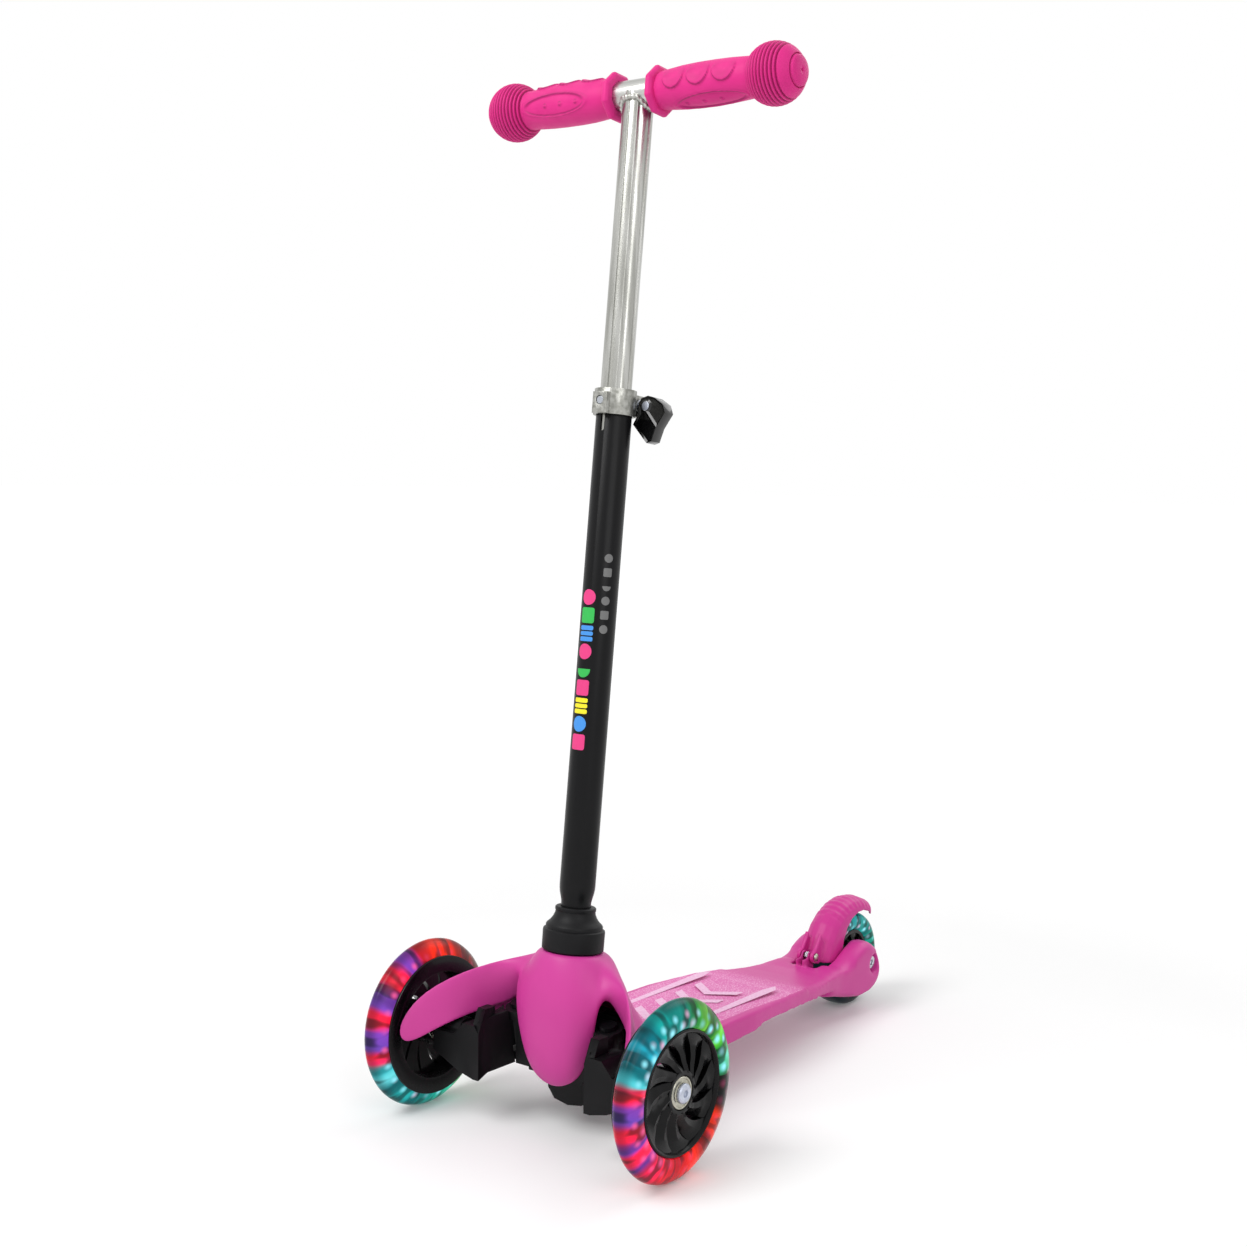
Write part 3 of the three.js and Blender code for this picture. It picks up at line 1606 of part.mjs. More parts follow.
function weldBead() {
  const foot = stem.barHeight - handlebar.radius - weld.height / 2;
  const inner = upperRadius + gap;
  const bead = turned(
    [
      [foot, inner],
      [foot + weld.height * 0.2, upperRadius + weld.reach],
      [foot + weld.height, upperRadius + weld.reach],
      [foot + weld.height, inner],
      [foot, inner],
    ],
    "z",
    20,
  );
  return cut(bead, barRoom());
}

function handlebarTube() {
  const inner = handlebar.radius - handlebar.wall;
  const half = handlebar.halfLength;
  const tube = ring(inner, handlebar.radius, -half, half, "x", handlebar.segments);
  return moved(tube, 0, 0, stem.barHeight);
}

function gripBody() {
  const bore = handlebar.radius + gap;
  const flangeTo = grip.flangeFrom + grip.flangeWidth;
  const ballSteps = 6;
  const ballFrom = -Math.acos(grip.neckRadius / grip.ballRadius);
  const ballTo = Math.acos(grip.endDiscRadius / grip.ballRadius);
  const ball = Array.from({ length: ballSteps + 1 }, (_, i) => {
    const turn = ballFrom + ((ballTo - ballFrom) * i) / ballSteps;
    return [grip.ballCentre + grip.ballRadius * Math.sin(turn), grip.ballRadius * Math.cos(turn)];
  });
  const bodyLength = ball[0][0] - flangeTo;
  const boreEnd = handlebar.halfLength + gap;
  const flangeTop = grip.flangeWidth * 0.3;
  const profile = turned(
    [
      [grip.flangeFrom, bore],
      [grip.flangeFrom, grip.flangeRadius - flangeTop],
      [grip.flangeFrom + flangeTop, grip.flangeRadius],
      [flangeTo - flangeTop, grip.flangeRadius],
      [flangeTo, grip.flangeRadius - flangeTop],
      [flangeTo, grip.neckRadius],
      [flangeTo + bodyLength * 0.3, grip.bodyRadius],
      [flangeTo + bodyLength * 0.65, grip.bodyRadius],
      ...ball,
      [grip.endFace, grip.endDiscRadius * 0.86],
      [grip.endFace, 0],
      [boreEnd, 0],
      [boreEnd, bore],
      [grip.flangeFrom, bore],
    ],
    "x",
    grip.segments,
  );
  return moved(profile, 0, 0, stem.barHeight);
}

// Assembly

const front = group(scooter, 0, frontAxle.y, 0);

for (const [suffix, side] of [["right", 1], ["left", -1]]) {
  const half = group(front);
  half.scale.x = side;
  addFrontSide(half, suffix);
}
add(front, "tie_rod", tieRodBar(), "steel");
add(front, "front_chassis", chassisBody(), "blackPlastic");
add(front, "front_cover", frontCover(), "pink");
add(front, "deck", deckMoulding(), "pink");
deckScrewPlaces().forEach(([x, y], i) => add(front, "deck_screw_" + (i + 1), deckScrew(x, y), "steel"));
coverScrewPlaces().forEach(([x, y], i) => add(front, "cover_screw_" + (i + 1), coverScrew(x, y), "steel"));

const rear = group(scooter, 0, rearAxle.y, rearAxle.z);
addWheel(rear, rearWheel, "rear");
const nutFace = -ear.pocketFrom - gap;
const nutEnd = nutFace - rearBolt.nutThickness;
add(rear, "rear_axle_bolt", axleBolt(ear.pocketFrom, nutEnd - gap, rearBolt), "steel");
add(rear, "rear_axle_nut", ring(axleRadius + gap, rearBolt.headRadius, nutEnd, nutFace, "x", 6), "steel");
add(rear, "brake_fender", fenderBody(), "pink");
add(rear, "brake_pin", brakePin(), "steel");
add(rear, "brake_spring", brakeCoil(), "steel");

const stemFrame = group(scooter, 0, frontAxle.y + stem.baseY, stem.baseZ, stemTilt);
add(stemFrame, "stem_collar", stemCollar(), "blackPlastic");
add(stemFrame, "lower_tube", lowerStemTube(), "blackPaint");
add(stemFrame, "height_clamp", heightClamp(), "aluminium");
add(stemFrame, "guide_screw", guideScrew(), "steel");
add(stemFrame, "clamp_bolt", clampBolt(), "steel");
add(stemFrame, "clamp_nut", clampNut(), "steel");
add(stemFrame, "cam_washer", camWasher(), "steel");
add(stemFrame, "quick_lever", quickLever(), "blackPlastic");
add(stemFrame, "barrel_pin", barrelPin(), "steel");
add(stemFrame, "upper_tube", upperStemTube(), "aluminium");
add(stemFrame, "handlebar_tube", handlebarTube(), "aluminium");
add(stemFrame, "weld_bead", weldBead(), "aluminium");
for (const [suffix, side] of [["right", 1], ["left", -1]]) {
  const half = group(stemFrame);
  half.scale.x = side;
  add(half, "grip_" + suffix, gripBody(), "gripPink");
}

console.log("least gap of a return spring to itself, mm:", leastGap(returnSpring).toFixed(2));
console.log("least gap of the brake spring to itself, mm:", leastGap(brakeSpring).toFixed(2));

export default scooter;
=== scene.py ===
import json
import math
import bmesh
import bpy
from mathutils import Matrix, Vector


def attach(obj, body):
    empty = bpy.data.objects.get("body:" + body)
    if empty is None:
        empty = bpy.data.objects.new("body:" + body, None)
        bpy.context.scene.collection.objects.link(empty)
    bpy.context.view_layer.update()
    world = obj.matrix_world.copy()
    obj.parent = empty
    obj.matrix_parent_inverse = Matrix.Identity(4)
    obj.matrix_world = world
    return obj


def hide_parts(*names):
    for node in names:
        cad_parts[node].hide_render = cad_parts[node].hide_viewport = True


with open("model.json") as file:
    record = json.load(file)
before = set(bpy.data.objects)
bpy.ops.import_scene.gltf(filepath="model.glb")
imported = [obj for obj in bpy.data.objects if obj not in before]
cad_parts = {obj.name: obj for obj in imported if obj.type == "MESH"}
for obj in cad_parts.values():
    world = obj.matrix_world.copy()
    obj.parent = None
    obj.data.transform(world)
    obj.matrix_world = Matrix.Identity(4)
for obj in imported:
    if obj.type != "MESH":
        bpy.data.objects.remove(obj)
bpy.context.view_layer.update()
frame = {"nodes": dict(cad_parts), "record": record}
bodyOf = {node: body for body, nodes in frame["record"]["behaviour"]["bodies"].items() for node in nodes}
print("frame loaded:", len(frame["nodes"]), "nodes")

# Sizes of pieces are in millimetres, in the frame's own axes, and each piece is scaled to metres when it is done.
# Places inside materials are in metres, because materials read the finished piece.
mm = 0.001
frontAxleY = -191.5
rearAxleY = 211.5
frontAxleZ = 60
rearAxleZ = 40
wheelOut = 109
barHeight = 594.9
stemMatrix = Matrix.Translation((0, -160.9, 126)) @ Matrix.Rotation(math.radians(-6), 4, "X")
barMatrix = stemMatrix @ Matrix.Translation((0, 0, barHeight))
fullTurn = 2 * math.pi
joinedWithin = 0.002  # points nearer than this are made one


def tint(hexText):
    parts = [int(hexText[i:i + 2], 16) / 255 for i in (1, 3, 5)]
    return tuple(p / 12.92 if p < 0.0405 else ((p + 0.055) / 1.055) ** 2.4 for p in parts) + (1,)


def blendTable(table, at):
    # straight-line reading of a table of (place, value)
    for (a, low), (b, high) in zip(table, table[1:]):
        if at <= b:
            return low + (high - low) * (at - a) / (b - a)
    return table[-1][1]


def held(value):
    return max(0.0, min(1.0, value))


def smoothStep(low, high, value):
    share = held((value - low) / (high - low))
    return share * share * (3 - 2 * share)


def everything(bm):
    return bm.verts[:] + bm.edges[:] + bm.faces[:]


def vertsIn(geom):
    return [g for g in geom if isinstance(g, bmesh.types.BMVert)]


def edgesIn(geom):
    return [g for g in geom if isinstance(g, bmesh.types.BMEdge)]


def addLoop(bm, points):
    verts = [bm.verts.new(p) for p in points]
    return [bm.edges.new((a, b)) for a, b in zip(verts, verts[1:] + verts[:1])]


def bridgeAll(bm, loops):
    for low, high in zip(loops, loops[1:]):
        bmesh.ops.bridge_loops(bm, edges=low + high)


def raiseFaces(bm, faces, step):
    raised = bmesh.ops.extrude_face_region(bm, geom=faces)["geom"]
    bmesh.ops.translate(bm, vec=step, verts=vertsIn(raised))


def spinProfile(bm, points, axis="X", steps=72, closed=True):
    # points are (along the axis, radius)
    lengthways = axis == "X"
    verts = [bm.verts.new((a, 0, r) if lengthways else (r, 0, a)) for a, r in points]
    edges = [bm.edges.new(pair) for pair in zip(verts, verts[1:] + verts[:1] if closed else verts[1:])]
    bmesh.ops.spin(bm, geom=verts + edges, cent=(0, 0, 0), axis=(1, 0, 0) if lengthways else (0, 0, 1),
                   angle=fullTurn, steps=steps, use_merge=True, use_duplicate=False)
    bmesh.ops.remove_doubles(bm, verts=bm.verts[:], dist=joinedWithin)


def bevelSharp(bm, width, limit=30, segments=2):
    picked = [e for e in bm.edges if e.is_manifold and e.calc_face_angle(0) > math.radians(limit)]
    bmesh.ops.bevel(bm, geom=picked, offset=width, offset_type="OFFSET", segments=segments, profile=0.5,
                    affect="EDGES", material=-1, clamp_overlap=True)


def placed(bm, matrix):
    bmesh.ops.transform(bm, matrix=matrix, verts=bm.verts[:])


def fixNormals(bm):
    bmesh.ops.remove_doubles(bm, verts=bm.verts[:], dist=joinedWithin)
    bmesh.ops.recalc_face_normals(bm, faces=bm.faces[:])


def objectFrom(bm, name):
    mesh = bpy.data.meshes.new(name)
    bm.to_mesh(mesh)
    bm.free()
    made = bpy.data.objects.new(name, mesh)
    bpy.context.scene.collection.objects.link(made)
    return made


def meshOf(made):
    bm = bmesh.new()
    bm.from_mesh(made.data)
    bm.normal_update()
    return bm


def takeBack(made, bm):
    bm.to_mesh(made.data)
    bm.free()


def applied(made, kind, **values):
    # adds a modifier and applies it
    modifier = made.modifiers.new(kind.lower(), kind)
    for key, value in values.items():
        setattr(modifier, key, value)
    graph = bpy.context.evaluated_depsgraph_get()
    mesh = bpy.data.meshes.new_from_object(made.evaluated_get(graph))
    old = made.data
    made.modifiers.clear()
    made.data = mesh
    bpy.data.meshes.remove(old)


def dropObject(made):
    mesh = made.data
    bpy.data.objects.remove(made)
    bpy.data.meshes.remove(mesh)


def moveInto(bm, part, name):
    # adds one mesh to another
    made = objectFrom(part, name)
    bm.from_mesh(made.data)
    dropObject(made)


def settle(made, look, node, sharp):
    # the last step of a piece: metres, smooth shading, its finish, and the node that it stands for
    made.data.transform(Matrix.Scale(mm, 4))
    made.data.shade_smooth()
    made.data.set_sharp_from_angle(angle=math.radians(sharp))
    made.data.materials.clear()
    made.data.materials.append(finish[look] if isinstance(look, str) else look)
    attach(made, bodyOf[node] if node else "frame")
    if node:
        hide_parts(node)


def turnedPiece(name, profile, place, look, node, sharp, axis="X", steps=72, edge=None):
    # a piece spun from its profile. Edge is (width of a broken edge, least angle that is broken)
    bm = bmesh.new()
    spinProfile(bm, profile, axis, steps)
    if edge:
        bevelSharp(bm, *edge)
    placed(bm, place)
    fixNormals(bm)
    settle(objectFrom(bm, name), look, node, sharp)


def cadCopy(node):
    bm = meshOf(frame["nodes"][node])
    placed(bm, Matrix.Scale(1 / mm, 4))
    bmesh.ops.remove_doubles(bm, verts=bm.verts[:], dist=0.005)
    return bm


def flatSided(node):
    # a copy of a CAD piece whose flat sides are one face each
    bm = cadCopy(node)
    bmesh.ops.dissolve_limit(bm, angle_limit=math.radians(1), verts=bm.verts[:], edges=bm.edges[:])
    return bm


def edgedCopy(node, width, limit=25, segments=2):
    # a copy of a machined CAD piece with its edges broken
    bm = flatSided(node)
    bevelSharp(bm, width, limit, segments)
    return objectFrom(bm, node + "_made")


def mouldedCopy(node, size, passes):
    # a copy of a moulded CAD piece with soft edges and corners
    made = objectFrom(cadCopy(node), node + "_made")
    applied(made, "REMESH", mode="VOXEL", voxel_size=size)
    if passes:
        applied(made, "SMOOTH", factor=0.5, iterations=passes)
    return made


def smoothWhere(bm, passes, test):
    verts = [v for v in bm.verts if test(v.co)]
    for _ in range(passes):
        bmesh.ops.smooth_vert(bm, verts=verts, factor=0.5, use_axis_x=True, use_axis_y=True, use_axis_z=True)


def feed(tree, node, inputs):
    # numbers and colours are set on a node's sockets, and outputs of other nodes are linked to them
    for key, value in inputs.items():
        if isinstance(value, (int, float, tuple)):
            node.inputs[key].default_value = value
        else:
            tree.links.new(value, node.inputs[key])


def addNode(tree, kind, inputs=None, **values):
    made = tree.nodes.new(kind)
    for key, value in values.items():
        setattr(made, key, value)
    feed(tree, made, inputs or {})
    return made


def math2(tree, operation, a, b=None, clamp=False):
    inputs = {0: a} if b is None else {0: a, 1: b}
    return addNode(tree, "ShaderNodeMath", inputs, operation=operation, use_clamp=clamp).outputs[0]


def times(tree, a, b):
    return math2(tree, "MULTIPLY", a, b)


def plus(tree, a, b):
    return math2(tree, "ADD", a, b)


def squareSum(tree, a, b):
    return plus(tree, times(tree, a, a), times(tree, b, b))


def mapRange(tree, value, low, high, toLow=0.0, toHigh=1.0, smooth=False):
    inputs = {"Value": value, "From Min": low, "From Max": high, "To Min": toLow, "To Max": toHigh}
    kind = "SMOOTHSTEP" if smooth else "LINEAR"
    return addNode(tree, "ShaderNodeMapRange", inputs, interpolation_type=kind).outputs["Result"]


def mixColor(tree, factor, a, b):
    return addNode(tree, "ShaderNodeMix", {0: factor, 6: a, 7: b}, data_type="RGBA").outputs[2]


def objectPlace(tree):
    return addNode(tree, "ShaderNodeTexCoord").outputs["Object"]


def partsOf(tree, vector):
    return addNode(tree, "ShaderNodeSeparateXYZ", {0: vector}).outputs


def noiseOf(tree, scale, detail, vector):
    return addNode(tree, "ShaderNodeTexNoise", {"Scale": scale, "Detail": detail, "Vector": vector}).outputs["Fac"]


def bumpOf(tree, height, strength, distance):
    return addNode(tree, "ShaderNodeBump", {"Strength": strength, "Distance": distance, "Height": height}).outputs[0]


def makeGroup(name, inputs, outputs):
    group = bpy.data.node_groups.new(name, "ShaderNodeTree")
    for way, sockets in (("INPUT", inputs), ("OUTPUT", outputs)):
        for kind, labels in sockets.items():
            for label in labels:
                group.interface.new_socket(label, in_out=way, socket_type="NodeSocket" + kind)
    return group, addNode(group, "NodeGroupInput").outputs, addNode(group, "NodeGroupOutput")


def makeGrainGroup():
    # slow mottling of a finish, a fine grain for its roughness, and the grain's height
    group, start, end = makeGroup(
        "finishGrain",
        {"Color": ["Color", "Shade"], "Vector": ["Stretch"],
         "Float": ["Scale", "Grain", "Spread", "Rough Low", "Rough High"]},
        {"Color": ["Color"], "Float": ["Roughness", "Height"]})
    place = addNode(group, "ShaderNodeVectorMath", {0: objectPlace(group), 1: start["Stretch"]}, operation="MULTIPLY")
    slow = noiseOf(group, start["Scale"], 3, place.outputs[0])
    fine = noiseOf(group, start["Grain"], 2, place.outputs[0])
    share = times(group, mapRange(group, slow, 0.35, 0.65, smooth=True), start["Spread"])
    both = plus(group, times(group, fine, 0.6), times(group, slow, 0.4))
    feed(group, end, {
        "Color": mixColor(group, share, start["Color"], start["Shade"]),
        "Roughness": mapRange(group, both, 0.35, 0.65, start["Rough Low"], start["Rough High"]),
        "Height": fine})
    return group


axleWrap = {"around": 0.05, "outward": 0.45}


def makeAxleGroup():
    # for a wheel: share of a turn from its rear side, distance from its axle, and a place that follows both
    group, start, end = makeGroup("aroundAxle", {"Vector": ["Centre"]},
                                  {"Float": ["Turn", "Radius"], "Vector": ["Place"]})
    shifted = addNode(group, "ShaderNodeVectorMath", {0: objectPlace(group), 1: start["Centre"]}, operation="SUBTRACT")
    _, y, z = partsOf(group, shifted.outputs[0])
    angle = math2(group, "ARCTAN2", z, y)
    radius = math2(group, "SQRT", squareSum(group, y, z))
    place = addNode(group, "ShaderNodeCombineXYZ", {
        0: times(group, math2(group, "SINE", angle), axleWrap["around"]),
        1: times(group, math2(group, "COSINE", angle), axleWrap["around"]),
        2: times(group, radius, axleWrap["outward"])})
    turn = math2(group, "FRACT", plus(group, math2(group, "DIVIDE", angle, fullTurn), 1.0))
    feed(group, end, {"Turn": turn, "Radius": radius, "Place": place.outputs[0]})
    return group


grainGroup = makeGrainGroup()
axleGroup = makeAxleGroup()


def startMaterial(name):
    made = bpy.data.materials.new(name)
    made.use_nodes = True
    tree = made.node_tree
    return made, tree, tree.nodes["Principled BSDF"]


def grainOf(tree, color, shade, rough, scale, grain, spread, stretch=(1, 1, 1)):
    return addNode(tree, "ShaderNodeGroup", {
        "Color": tint(color), "Shade": tint(shade), "Stretch": stretch, "Scale": scale, "Grain": grain,
        "Spread": spread, "Rough Low": rough[0], "Rough High": rough[1]}, node_tree=grainGroup).outputs


def grainyMaterial(name, color, shade, rough, scale, grain=1500, spread=0.5, bump=0.1, depth=0.0001,
                   stretch=(1, 1, 1), metallic=0.0, coat=0.0, coatRough=0.1, sheen=0.0, specular=0.5, anisotropic=0.0):
    made, tree, shader = startMaterial(name)
    grainy = grainOf(tree, color, shade, rough, scale, grain, spread, stretch)
    feed(tree, shader, {
        "Base Color": grainy["Color"], "Roughness": grainy["Roughness"],
        "Normal": bumpOf(tree, grainy["Height"], bump, depth), "Metallic": metallic, "Coat Weight": coat,
        "Coat Roughness": coatRough, "Sheen Weight": sheen, "Specular IOR Level": specular,
        "Anisotropic": anisotropic})
    return made


finishes = {
    "coverPink": dict(color="#cc3e96", shade="#c0348d", rough=(0.4, 0.5), scale=18, spread=0.35, bump=0.12,
                      specular=0.35),
    "fenderPink": dict(color="#cd2f8f", shade="#bf2684", rough=(0.36, 0.46), scale=18, spread=0.35, bump=0.12,
                       specular=0.38),
    "gripRubber": dict(color="#d92883", shade="#c91c78", rough=(0.5, 0.62), scale=45, grain=1800, spread=0.4,
                       bump=0.2, sheen=0.05, specular=0.25),
    "blackPaint": dict(color="#0b0b0d", shade="#070708", rough=(0.3, 0.4), scale=30, grain=2500, bump=0.08,
                       depth=0.00005, coat=0.05, coatRough=0.25, specular=0.14),
    "blackMoulding": dict(color="#0e0e10", shade="#09090a", rough=(0.4, 0.52), scale=35, grain=1600, bump=0.2,
                          specular=0.16),
    "collarBlack": dict(color="#0e0e10", shade="#09090b", rough=(0.42, 0.52), scale=30, grain=1800, bump=0.15,
                        specular=0.18),
    "leverBlack": dict(color="#0b0b0c", shade="#060607", rough=(0.1, 0.2), scale=60, grain=1600, coat=0.3,
                       coatRough=0.08, specular=0.4),
    "hubBlack": dict(color="#050506", shade="#09090b", rough=(0.18, 0.3), scale=50, grain=1200, spread=0.4,
                     bump=0.05, coat=0.06, coatRough=0.06, specular=0.16),
    "tubeAluminium": dict(color="#bcbcb8", shade="#94948e", rough=(0.2, 0.34), scale=30, grain=600, spread=0.75,
                          bump=0.05, depth=0.00005, stretch=(7, 7, 0.2), metallic=1.0, anisotropic=0.3),
    "barAluminium": dict(color="#c6c6c3", shade="#a2a29d", rough=(0.22, 0.34), scale=30, grain=600, spread=0.6,
                         bump=0.05, depth=0.00005, stretch=(0.25, 6, 6), metallic=1.0, anisotropic=0.3),
    "weldAluminium": dict(color="#bdbdb8", shade="#8f8f88", rough=(0.3, 0.48), scale=160, grain=700, spread=0.6,
                          bump=0.5, depth=0.0003, metallic=1.0),
    "clampAluminium": dict(color="#a8a8a3", shade="#7c7c76", rough=(0.28, 0.46), scale=260, grain=900, spread=0.8,
                           bump=0.45, depth=0.0002, metallic=1.0),
    "steelPlated": dict(color="#c4c8cf", shade="#a3a7ae", rough=(0.18, 0.3), scale=90, bump=0.08, depth=0.00005,
                        metallic=1.0),
    "bearingSteel": dict(color="#b9b7a9", shade="#8f8d80", rough=(0.2, 0.34), scale=200, bump=0.08, depth=0.00005,
                         metallic=1.0),
    "boltHead": dict(color="#c9cfdd", shade="#aeb4c4", rough=(0.3, 0.45), scale=200, spread=0.6, depth=0.00005,
                     metallic=0.6),
    "lightBand": dict(color="#e6eef2", shade="#cfdde4", rough=(0.15, 0.25), scale=90, grain=700, spread=0.4,
                      bump=0.05, coat=0.4),
    "blackSteel": dict(color="#1b1b1e", shade="#101012", rough=(0.3, 0.42), scale=200, depth=0.00005,
                       metallic=0.5, specular=0.2),
}
finish = {name: grainyMaterial(name, **values) for name, values in finishes.items()}
print("finishes made:", len(finish))


# Glow of the tyres. A stop is (share of a turn, from the rear over the top, colour), and a row of lamps is
# (count, share of the way out, size, shift, power)
glow = {
    "nearStops": [
        (0.000, "#1c5a34"), (0.030, "#3fbf93"), (0.060, "#128a2e"), (0.095, "#5fd02e"), (0.130, "#0e6e2c"),
        (0.165, "#6ecb3a"), (0.200, "#17852f"), (0.235, "#067064"), (0.270, "#009c93"), (0.310, "#12a8a2"),
        (0.345, "#036d79"), (0.380, "#22b3cc"), (0.415, "#08818c"), (0.440, "#4fc6cf"), (0.456, "#c72a4c"),
        (0.472, "#ff1c38"), (0.492, "#7c3aa6"), (0.508, "#6f46b8"), (0.526, "#ff1f3f"), (0.548, "#ff1d4a"),
        (0.565, "#7a3db4"), (0.585, "#fa1b46"), (0.605, "#ff2050"), (0.622, "#8038b0"), (0.642, "#f41a50"),
        (0.700, "#ff2036"), (0.760, "#c9141c"), (0.810, "#ff2a16"), (0.850, "#7c130c"), (0.885, "#ff3410"),
        (0.930, "#38160f"), (0.975, "#121310"),
    ],
    "farStops": [
        (0.000, "#0b8f7a"), (0.060, "#2a1210"), (0.110, "#571008"), (0.160, "#a11a0c"), (0.205, "#e8260e"),
        (0.245, "#ff2a10"), (0.285, "#ee1d2c"), (0.305, "#8d3aa8"), (0.330, "#7a3cae"), (0.352, "#fa1d44"),
        (0.385, "#ff2340"), (0.405, "#7e3fb6"), (0.428, "#7b45ba"), (0.446, "#ff2046"), (0.470, "#fb1f40"),
        (0.487, "#7d3fb4"), (0.512, "#7446ba"), (0.528, "#ff1f40"), (0.548, "#f02a62"), (0.562, "#30b0b8"),
        (0.590, "#62cfd6"), (0.622, "#03737a"), (0.655, "#1aa6a6"), (0.690, "#046d70"), (0.725, "#12a89c"),
        (0.770, "#079079"), (0.805, "#22bb93"), (0.840, "#25a53c"), (0.880, "#86d23c"), (0.920, "#189a52"),
        (0.955, "#0aa08a"), (0.985, "#0b8f7a"),
    ],
    "rearStops": [
        (0.000, "#0a5a4e"), (0.060, "#12917c"), (0.120, "#05706c"), (0.170, "#16a8a0"), (0.220, "#046e70"),
        (0.270, "#1aa6a8"), (0.320, "#067074"), (0.365, "#147f88"), (0.410, "#0b3238"), (0.500, "#0b1b20"),
        (0.580, "#0c2c34"), (0.660, "#0b1b20"), (0.740, "#0a1114"), (0.820, "#0a1114"), (0.880, "#0b2622"),
        (0.940, "#0c4038"),
    ],
    "emission": 1.08,
    "bodyShare": 0.22,
    "wave": (55, 0.012),
    "patchScale": 120,
    "patchDepth": 0.75,
    "bandScale": 20,
    "bandDepth": 0.45,
    "edgeFrom": 0.7,
    "edgeDepth": 0.55,
    "lampRows": [(25, 0.2, 0.0046, 0.0, 1.0), (25, 0.54, 0.0038, 0.5, 0.8)],
    "lampsFor": 0.06,  # the tyre radius that the rows are written for
    "lampFall": 1.1,
    "coolSpot": "#8fe6f5",
    "warmSpot": "#ff5fa0",
    "rimShade": "#051216",
}


def lampRow(tree, axle, count, place, size, shift, power):
    # a ring of soft lamp spots, each with its own brightness
    steps = plus(tree, times(tree, axle["Turn"], count), shift)
    middle = math2(tree, "SUBTRACT", math2(tree, "FRACT", steps), 0.5)
    around = times(tree, middle, fullTurn * place / count)
    away = math2(tree, "SQRT", squareSum(tree, around, math2(tree, "SUBTRACT", axle["Radius"], place)))
    spot = math2(tree, "POWER", mapRange(tree, away, 0, size, 1.0, 0.0, smooth=True), glow["lampFall"])
    chance = addNode(tree, "ShaderNodeTexWhiteNoise", {"W": math2(tree, "FLOOR", steps)}, noise_dimensions="1D")
    return times(tree, spot, mapRange(tree, chance.outputs["Value"], 0.1, 0.6, 0.35 * power, power))


def glowMaterial(name, stops, centre, inner, outer):
    made, tree, shader = startMaterial(name)
    middle = tuple(place * mm for place in centre)
    axle = addNode(tree, "ShaderNodeGroup", {"Centre": middle}, node_tree=axleGroup).outputs
    waveScale, waveReach = glow["wave"]
    sway = mapRange(tree, noiseOf(tree, waveScale, 2, axle["Place"]), 0.3, 0.7, -waveReach, waveReach)
    turn = math2(tree, "FRACT", plus(tree, plus(tree, axle["Turn"], sway), 1.0))
    ramp = addNode(tree, "ShaderNodeValToRGB", {0: turn})
    ramp.color_ramp.interpolation = "EASE"
    elements = ramp.color_ramp.elements
    for element, (place, color) in zip(elements, (stops[0], stops[-1])):
        element.position, element.color = place, tint(color)
    for place, color in stops[1:-1]:
        elements.new(place).color = tint(color)
    shade = tint(glow["rimShade"])
    # blurred dark patches and bands between the lamps, and a darker outer edge
    cloud = noiseOf(tree, glow["patchScale"], 1, axle["Place"])
    band = addNode(tree, "ShaderNodeTexNoise", {"Scale": 1, "Detail": 1, "W": times(tree, turn, glow["bandScale"])},
                   noise_dimensions="1D").outputs["Fac"]
    patches = mapRange(tree, cloud, 0.38, 0.54, glow["patchDepth"], 0.0, smooth=True)
    bands = mapRange(tree, band, 0.34, 0.56, glow["bandDepth"], 0.0, smooth=True)
    colors = mixColor(tree, math2(tree, "MAXIMUM", patches, bands), ramp.outputs[0], shade)
    height = mapRange(tree, axle["Radius"], inner, outer)
    edge = mapRange(tree, height, glow["edgeFrom"], 1.0, 0.0, glow["edgeDepth"], smooth=True)
    colors = mixColor(tree, edge, colors, shade)
    # lamp spots: bright where the light is green or blue, softer where it is pink, nearly none where it is red
    split = addNode(tree, "ShaderNodeSeparateColor", {0: ramp.outputs[0]}).outputs
    isCool = mapRange(tree, split[1], 0.05, 0.3, smooth=True)
    isPink = mapRange(tree, split[2], 0.03, 0.09, 0.15, 0.8, smooth=True)
    grown = outer / glow["lampsFor"]
    rows = [lampRow(tree, axle, round(count * grown), inner + share * (outer - inner), size * grown, shift, power)
            for count, share, size, shift, power in glow["lampRows"]]
    spots = math2(tree, "MAXIMUM", *rows)
    strength = math2(tree, "MULTIPLY", spots, math2(tree, "MAXIMUM", isCool, isPink), clamp=True)
    colors = mixColor(tree, strength, colors, mixColor(tree, isCool, tint(glow["warmSpot"]), tint(glow["coolSpot"])))
    feed(tree, shader, {
        "Base Color": mixColor(tree, 1.0 - glow["bodyShare"], colors, tint("#000000")),
        "Emission Color": colors, "Emission Strength": glow["emission"],
        "Roughness": mapRange(tree, cloud, 0.3, 0.7, 0.2, 0.3), "Specular IOR Level": 0.1,
        "Coat Weight": 0.03, "Coat Roughness": 0.08, "Normal": bumpOf(tree, cloud, strength=0.06, distance=0.0003)})
    return made


